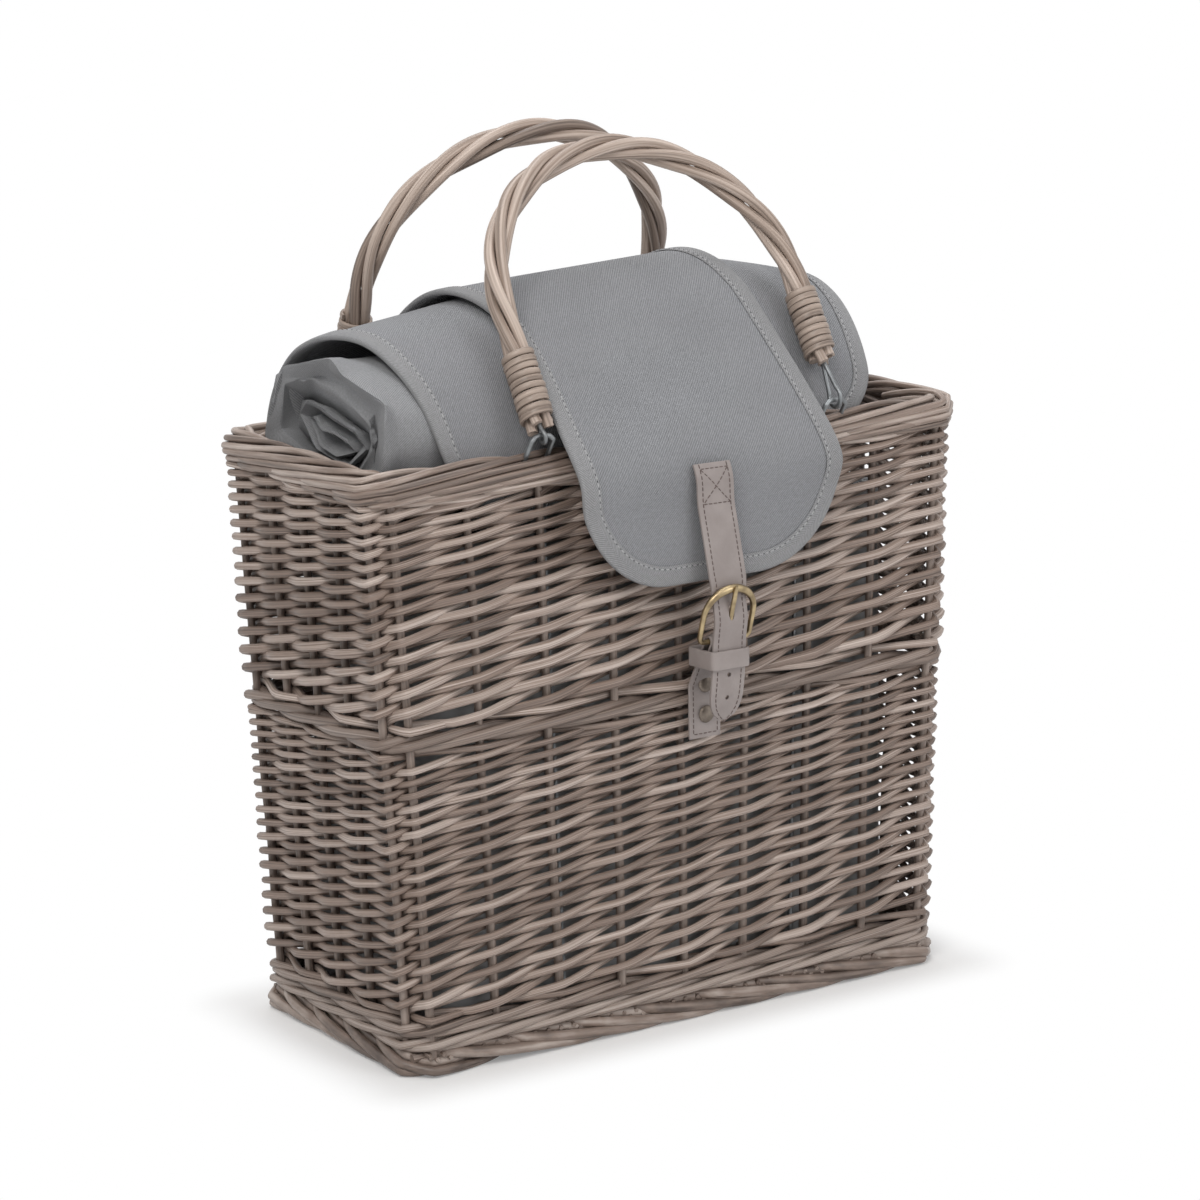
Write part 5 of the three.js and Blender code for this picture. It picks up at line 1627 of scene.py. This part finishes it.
def leatherStitches(name, lines, body):
    rods = []
    for line in lines:
        rods += stitchesAlong(line, leatherStitch["pitch"], leatherStitch["length"], leatherStitch["radius"])
    dress(rodMesh(name, rods, leatherStitch["sides"]), "leatherThread", body, "taupe_leather")


def makeStrap():
    line = strapLine()
    tip = strapSet["tip"]
    last = line[-1].z
    widen, widenFrom, widenTo = strapSet["widen"]

    def halfAt(index):
        height = line[index].z
        past = clamp((last + tip - height) / tip)
        half = strapSet["half"] + widen * smoothStep(barPlace.z + widenFrom, barPlace.z + widenTo, height)
        return max(strapSet["tipHalf"], half * sqrt(max(0.0, 1 - past ** strapSet["tipRound"])))

    frames = bandFrames(line, halfAt, strapSet["thick"], 1)
    strap = sweptBand("strap_leather", frames)
    middle = Vector((strapX, flapPoints[-1].y - strapSet["lift"] - strapSet["standOff"], barPlace.z))
    slotUp, slotHalf, slotTall = strapSet["slot"]
    deep = strapSet["cutDeep"]
    hole = strapSet["holeRadius"]
    cutters = [ovalCutter("slot", middle + Vector((0, 0, slotUp)), slotHalf, slotTall, deep)]
    cutters += [ovalCutter("hole", middle + Vector((0, 1, up)), hole, hole, deep) for up in strapSet["holes"]]
    cutHoles(strap, cutters)
    dress(strap, "taupeLeather", "flap", "taupe_leather", "strap")
    lift = strapSet["thick"] + leatherStitch["lift"]
    lines = [[place + side * way * max(0.0, half - leatherStitch["inset"]) + out * lift
              for place, side, out, half, _ in frames] for way in (-1, 1)]
    leatherStitches("strap_stitches", lines + boxLines(frames, lift), "flap")


# Sewn box with a cross in it, where the strap is sewn to the flap
def boxLines(frames, lift):
    half = strapSet["half"] + strapSet["widen"][0] - leatherStitch["inset"]
    steps = strapSet["crossSteps"]

    def spot(share, across):
        place = strapSet["boxLength"] * share + strapSet["boxStart"]
        index = int(place)
        middle = frames[index][0].lerp(frames[index + 1][0], place - index)
        return middle + Vector((across * half, 0, 0)) + frames[index][2] * lift

    ends = [[spot(share, -1), spot(share, 1)] for share in (0, 1)]
    cross = [[spot(i / steps, way * (2 * i / steps - 1)) for i in range(steps + 1)] for way in (1, -1)]
    return ends + cross


chapeSet = {
    "half": (chapeBox[1].x - chapeBox[0].x) / 2,
    "thick": 1.0,
    "flat": 32.0,  # length on the wall
    "flatSteps": 6,
    "slopeSteps": 4,
    "ring": 2.85,  # round the bar
    "ringSteps": 14,
    "back": 18.0,  # length folded back from the bar
    "backSteps": 4,
    "slot": (0.5, 2.0, 5.0, 9.0),  # above the bar, half width, half height, depth
    "stitchInset": 0.8,  # of the strap's
    "stitched": 9,  # frames
}


def chapeFrames():
    bottom = chapeBox[0].z
    wallY = chapeBox[1].y - chapeSet["thick"]
    ring = chapeSet["ring"]
    steps = chapeSet["ringSteps"]
    flatSteps = chapeSet["flatSteps"]
    slopeSteps = chapeSet["slopeSteps"]
    backSteps = chapeSet["backSteps"]
    toBar = Vector((wallY - barPlace.y, barPlace.z - bottom - chapeSet["flat"]))
    lean = atan2(toBar.x, toBar.y) - asin(ring / toBar.length)
    loop = [Vector((strapX, barPlace.y + ring * cos(angle), barPlace.z + ring * sin(angle)))
              for angle in (lean + pi * step / steps for step in range(steps + 1))]
    line = [Vector((strapX, wallY, bottom + chapeSet["flat"] * i / flatSteps)) for i in range(flatSteps + 1)]
    line += [line[-1].lerp(loop[0], i / slopeSteps) for i in range(1, slopeSteps)]
    down = Vector((0, sin(lean), -cos(lean))) * chapeSet["back"]
    line += loop + [loop[-1] + down * i / backSteps for i in range(1, backSteps + 1)]
    return bandFrames(line, lambda index: chapeSet["half"], chapeSet["thick"], -1)


def makeChape():
    frames = chapeFrames()
    chape = sweptBand("chape_leather", frames)
    slotUp, slotHalf, slotTall, slotDeep = chapeSet["slot"]
    cutHoles(chape, [ovalCutter("slot", barPlace + Vector((0, 0, slotUp)), slotHalf, slotTall, slotDeep)])
    dress(chape, "taupeLeather", "basket", "taupe_leather", "chape")
    inset = leatherStitch["inset"] * chapeSet["stitchInset"]
    aside = Vector((chapeSet["half"] - inset, 0, 0))
    flat = [place + out * (thick + leatherStitch["lift"])
            for place, _, out, _, thick in frames[:chapeSet["stitched"]]]
    flat[0] += Vector((0, 0, inset))
    lines = [[place + aside * way for place in flat] for way in (-1, 1)]
    leatherStitches("chape_stitches", lines + [[flat[0] - aside, flat[0] + aside]], "basket")


keeperSet = {
    "thick": 0.9,
    "corner": 2.4,
    "cornerSteps": 5,
    "shear": 0.3,  # how far its back hangs below its middle
    "around": 20,
}


def makeKeeper():
    low, high = nodeBox("keeper")
    middle = (low + high) / 2
    thick = keeperSet["thick"]
    halfX = (high.x - low.x) / 2 - thick
    halfY = (high.y - low.y) / 2 - thick
    corner = keeperSet["corner"]
    steps = keeperSet["cornerSteps"]
    frames = []
    for quarter, (wayX, wayY) in enumerate(((1, 1), (-1, 1), (-1, -1), (1, -1))):
        for step in range(steps + 1):
            angle = pi / 2 * (quarter + step / steps)
            out = Vector((cos(angle), sin(angle), 0))
            place = middle + Vector((wayX * (halfX - corner), wayY * (halfY - corner), 0)) + out * corner
            place.z -= keeperSet["shear"] * (place.y - middle.y) / halfY
            frames.append((place, Vector((0, 0, 1)), out, (high.z - low.z) / 2, thick))
    keeper = sweptBand("keeper_leather", frames, closed=True, around=keeperSet["around"])
    dress(keeper, "taupeLeather", "basket", "taupe_leather", "keeper")


buckle = {
    "tilt": radians(17.2),
    "wire": 1.6,
    "length": 33.0,  # bar to bow
    "half": 17.4,
    "corner": 3.5,
    "swell": 0.9,  # how much thicker the bow is at its top
    "steps": (6, 5, 36),  # along half of the bar, round a corner, round the bow
    "sides": 14,
}
prongSet = {
    "wire": 1.5,
    "ring": 3.05,
    "out": 3.1,  # of its tip
    "curl": (-250.0, 50.0, 24),  # degrees round the bar, steps
    "leave": (0.6, 0.8),  # where the shank leaves the curl, in rings along and out
    "steps": 8,
    "tip": (0.95, 0.6),
    "sides": 12,
}


# Place in the plane of the buckle: along it from the bar, and out from it
def bucklePlace(x, along, out):
    tilt = buckle["tilt"]
    return Vector((strapX + x, barPlace.y - along * sin(tilt) - out * cos(tilt),
                   barPlace.z + along * cos(tilt) - out * sin(tilt)))


def makeBuckle():
    half = buckle["half"]
    corner = buckle["corner"]
    length = buckle["length"]
    arch = length / 2
    barSteps, cornerSteps, bowSteps = buckle["steps"]

    def cornerPoint(x, angle):
        return x + corner * cos(angle), corner + corner * sin(angle)

    outline = [((half - corner) * i / barSteps, 0.0) for i in range(-barSteps, barSteps + 1)]
    outline += [cornerPoint(half - corner, -pi / 2 + pi / 2 * i / cornerSteps)
                for i in range(1, cornerSteps + 1)]
    outline += [(half * cos(pi * i / bowSteps), length - arch + arch * sin(pi * i / bowSteps))
                for i in range(bowSteps + 1)]
    outline += [cornerPoint(corner - half, pi + pi / 2 * i / cornerSteps) for i in range(cornerSteps)]
    line = [bucklePlace(x, along, 0.0) for x, along in outline]
    radii = [buckle["wire"] + buckle["swell"] * (along / length) ** 3 for _, along in outline]
    bow = rodMesh("buckle_frame_wire", [rod(line + line[:1], radii + radii[:1], 0.5)], buckle["sides"])
    dress(bow, "agedBrass", "buckle", "aged_brass", "buckle_frame")


def makeProng():
    ring = prongSet["ring"]
    first, last, curlSteps = prongSet["curl"]
    angles = [radians(between(first, last, i / curlSteps)) for i in range(curlSteps + 1)]
    line = [bucklePlace(0.0, ring * cos(t), ring * sin(t)) for t in angles]
    leaveAlong, leaveOut = (ring * share for share in prongSet["leave"])
    reach = buckle["length"] + 2 * buckle["wire"]
    steps = prongSet["steps"]
    for i in range(steps + 1):
        out = between(leaveOut, prongSet["out"], i / steps)
        line.append(bucklePlace(0.0, between(leaveAlong, reach, i / steps), out))
    shares = [1.0] * (len(line) - len(prongSet["tip"])) + list(prongSet["tip"])
    radii = [prongSet["wire"] * share for share in shares]
    prong = rodMesh("buckle_prong_wire", [rod(line, radii, 0.5)], prongSet["sides"])
    dress(prong, "agedBrass", "prong", "aged_brass", "buckle_prong")


rivets = {
    "head": (5.2, 2.0),  # radius and rise
    "headSteps": 7,
    "under": (0.98, 0.1),  # radius of the underside, in heads, and thickness of the edge
    "shank": 1.8,
    "steps": 28,
    "merge": 0.005,
    "sharp": 40.0,
}


def makeRivets():
    wide, rise = rivets["head"]
    underShare, edge = rivets["under"]
    steps = rivets["headSteps"]
    shank = rivets["shank"]
    for word in ("lower", "upper"):
        node = "rivet_" + word
        low, high = nodeBox(node)
        middle = (low + high) / 2
        head = low.y + rise
        turns = [pi / 2 * i / steps for i in range(steps + 1)]
        profile = [(wide * sin(turn), head - rise * cos(turn)) for turn in turns]
        profile += [(wide * underShare, head + edge), (shank, head + edge), (shank, high.y), (0, high.y)]
        bm = bmesh.new()
        verts = [bm.verts.new((x, y, 0)) for x, y in profile]
        edges = [bm.edges.new(pair) for pair in zip(verts, verts[1:])]
        bmesh.ops.spin(bm, geom=verts + edges, cent=(0, 0, 0), axis=(0, 1, 0), angle=2 * pi,
                       steps=rivets["steps"], use_merge=True)
        bmesh.ops.remove_doubles(bm, verts=bm.verts, dist=rivets["merge"])
        bmesh.ops.recalc_face_normals(bm, faces=bm.faces)
        for vert in bm.verts:
            vert.co = (vert.co + Vector((middle.x, 0, middle.z))) * mm
        piece = meshObject(node + "_metal", bm)
        piece.data.shade_smooth()
        piece.data.set_sharp_from_angle(angle=radians(rivets["sharp"]))
        dress(piece, "rivetBronze", "basket", "aged_brass", node)
        burr = bpy.data.objects["burr_" + word]
        burr.data.materials.clear()
        burr.data.materials.append(finish["rivetBronze"])


makeCover()
makeFlap()
makeNeck()
makeBag()
print("bag, roll, cover and flap made")

makeHandles()
makeAnchors()
print("handles and wires made")

makeStrap()
makeChape()
makeKeeper()
makeBuckle()
makeProng()
makeRivets()
print("fastening made")
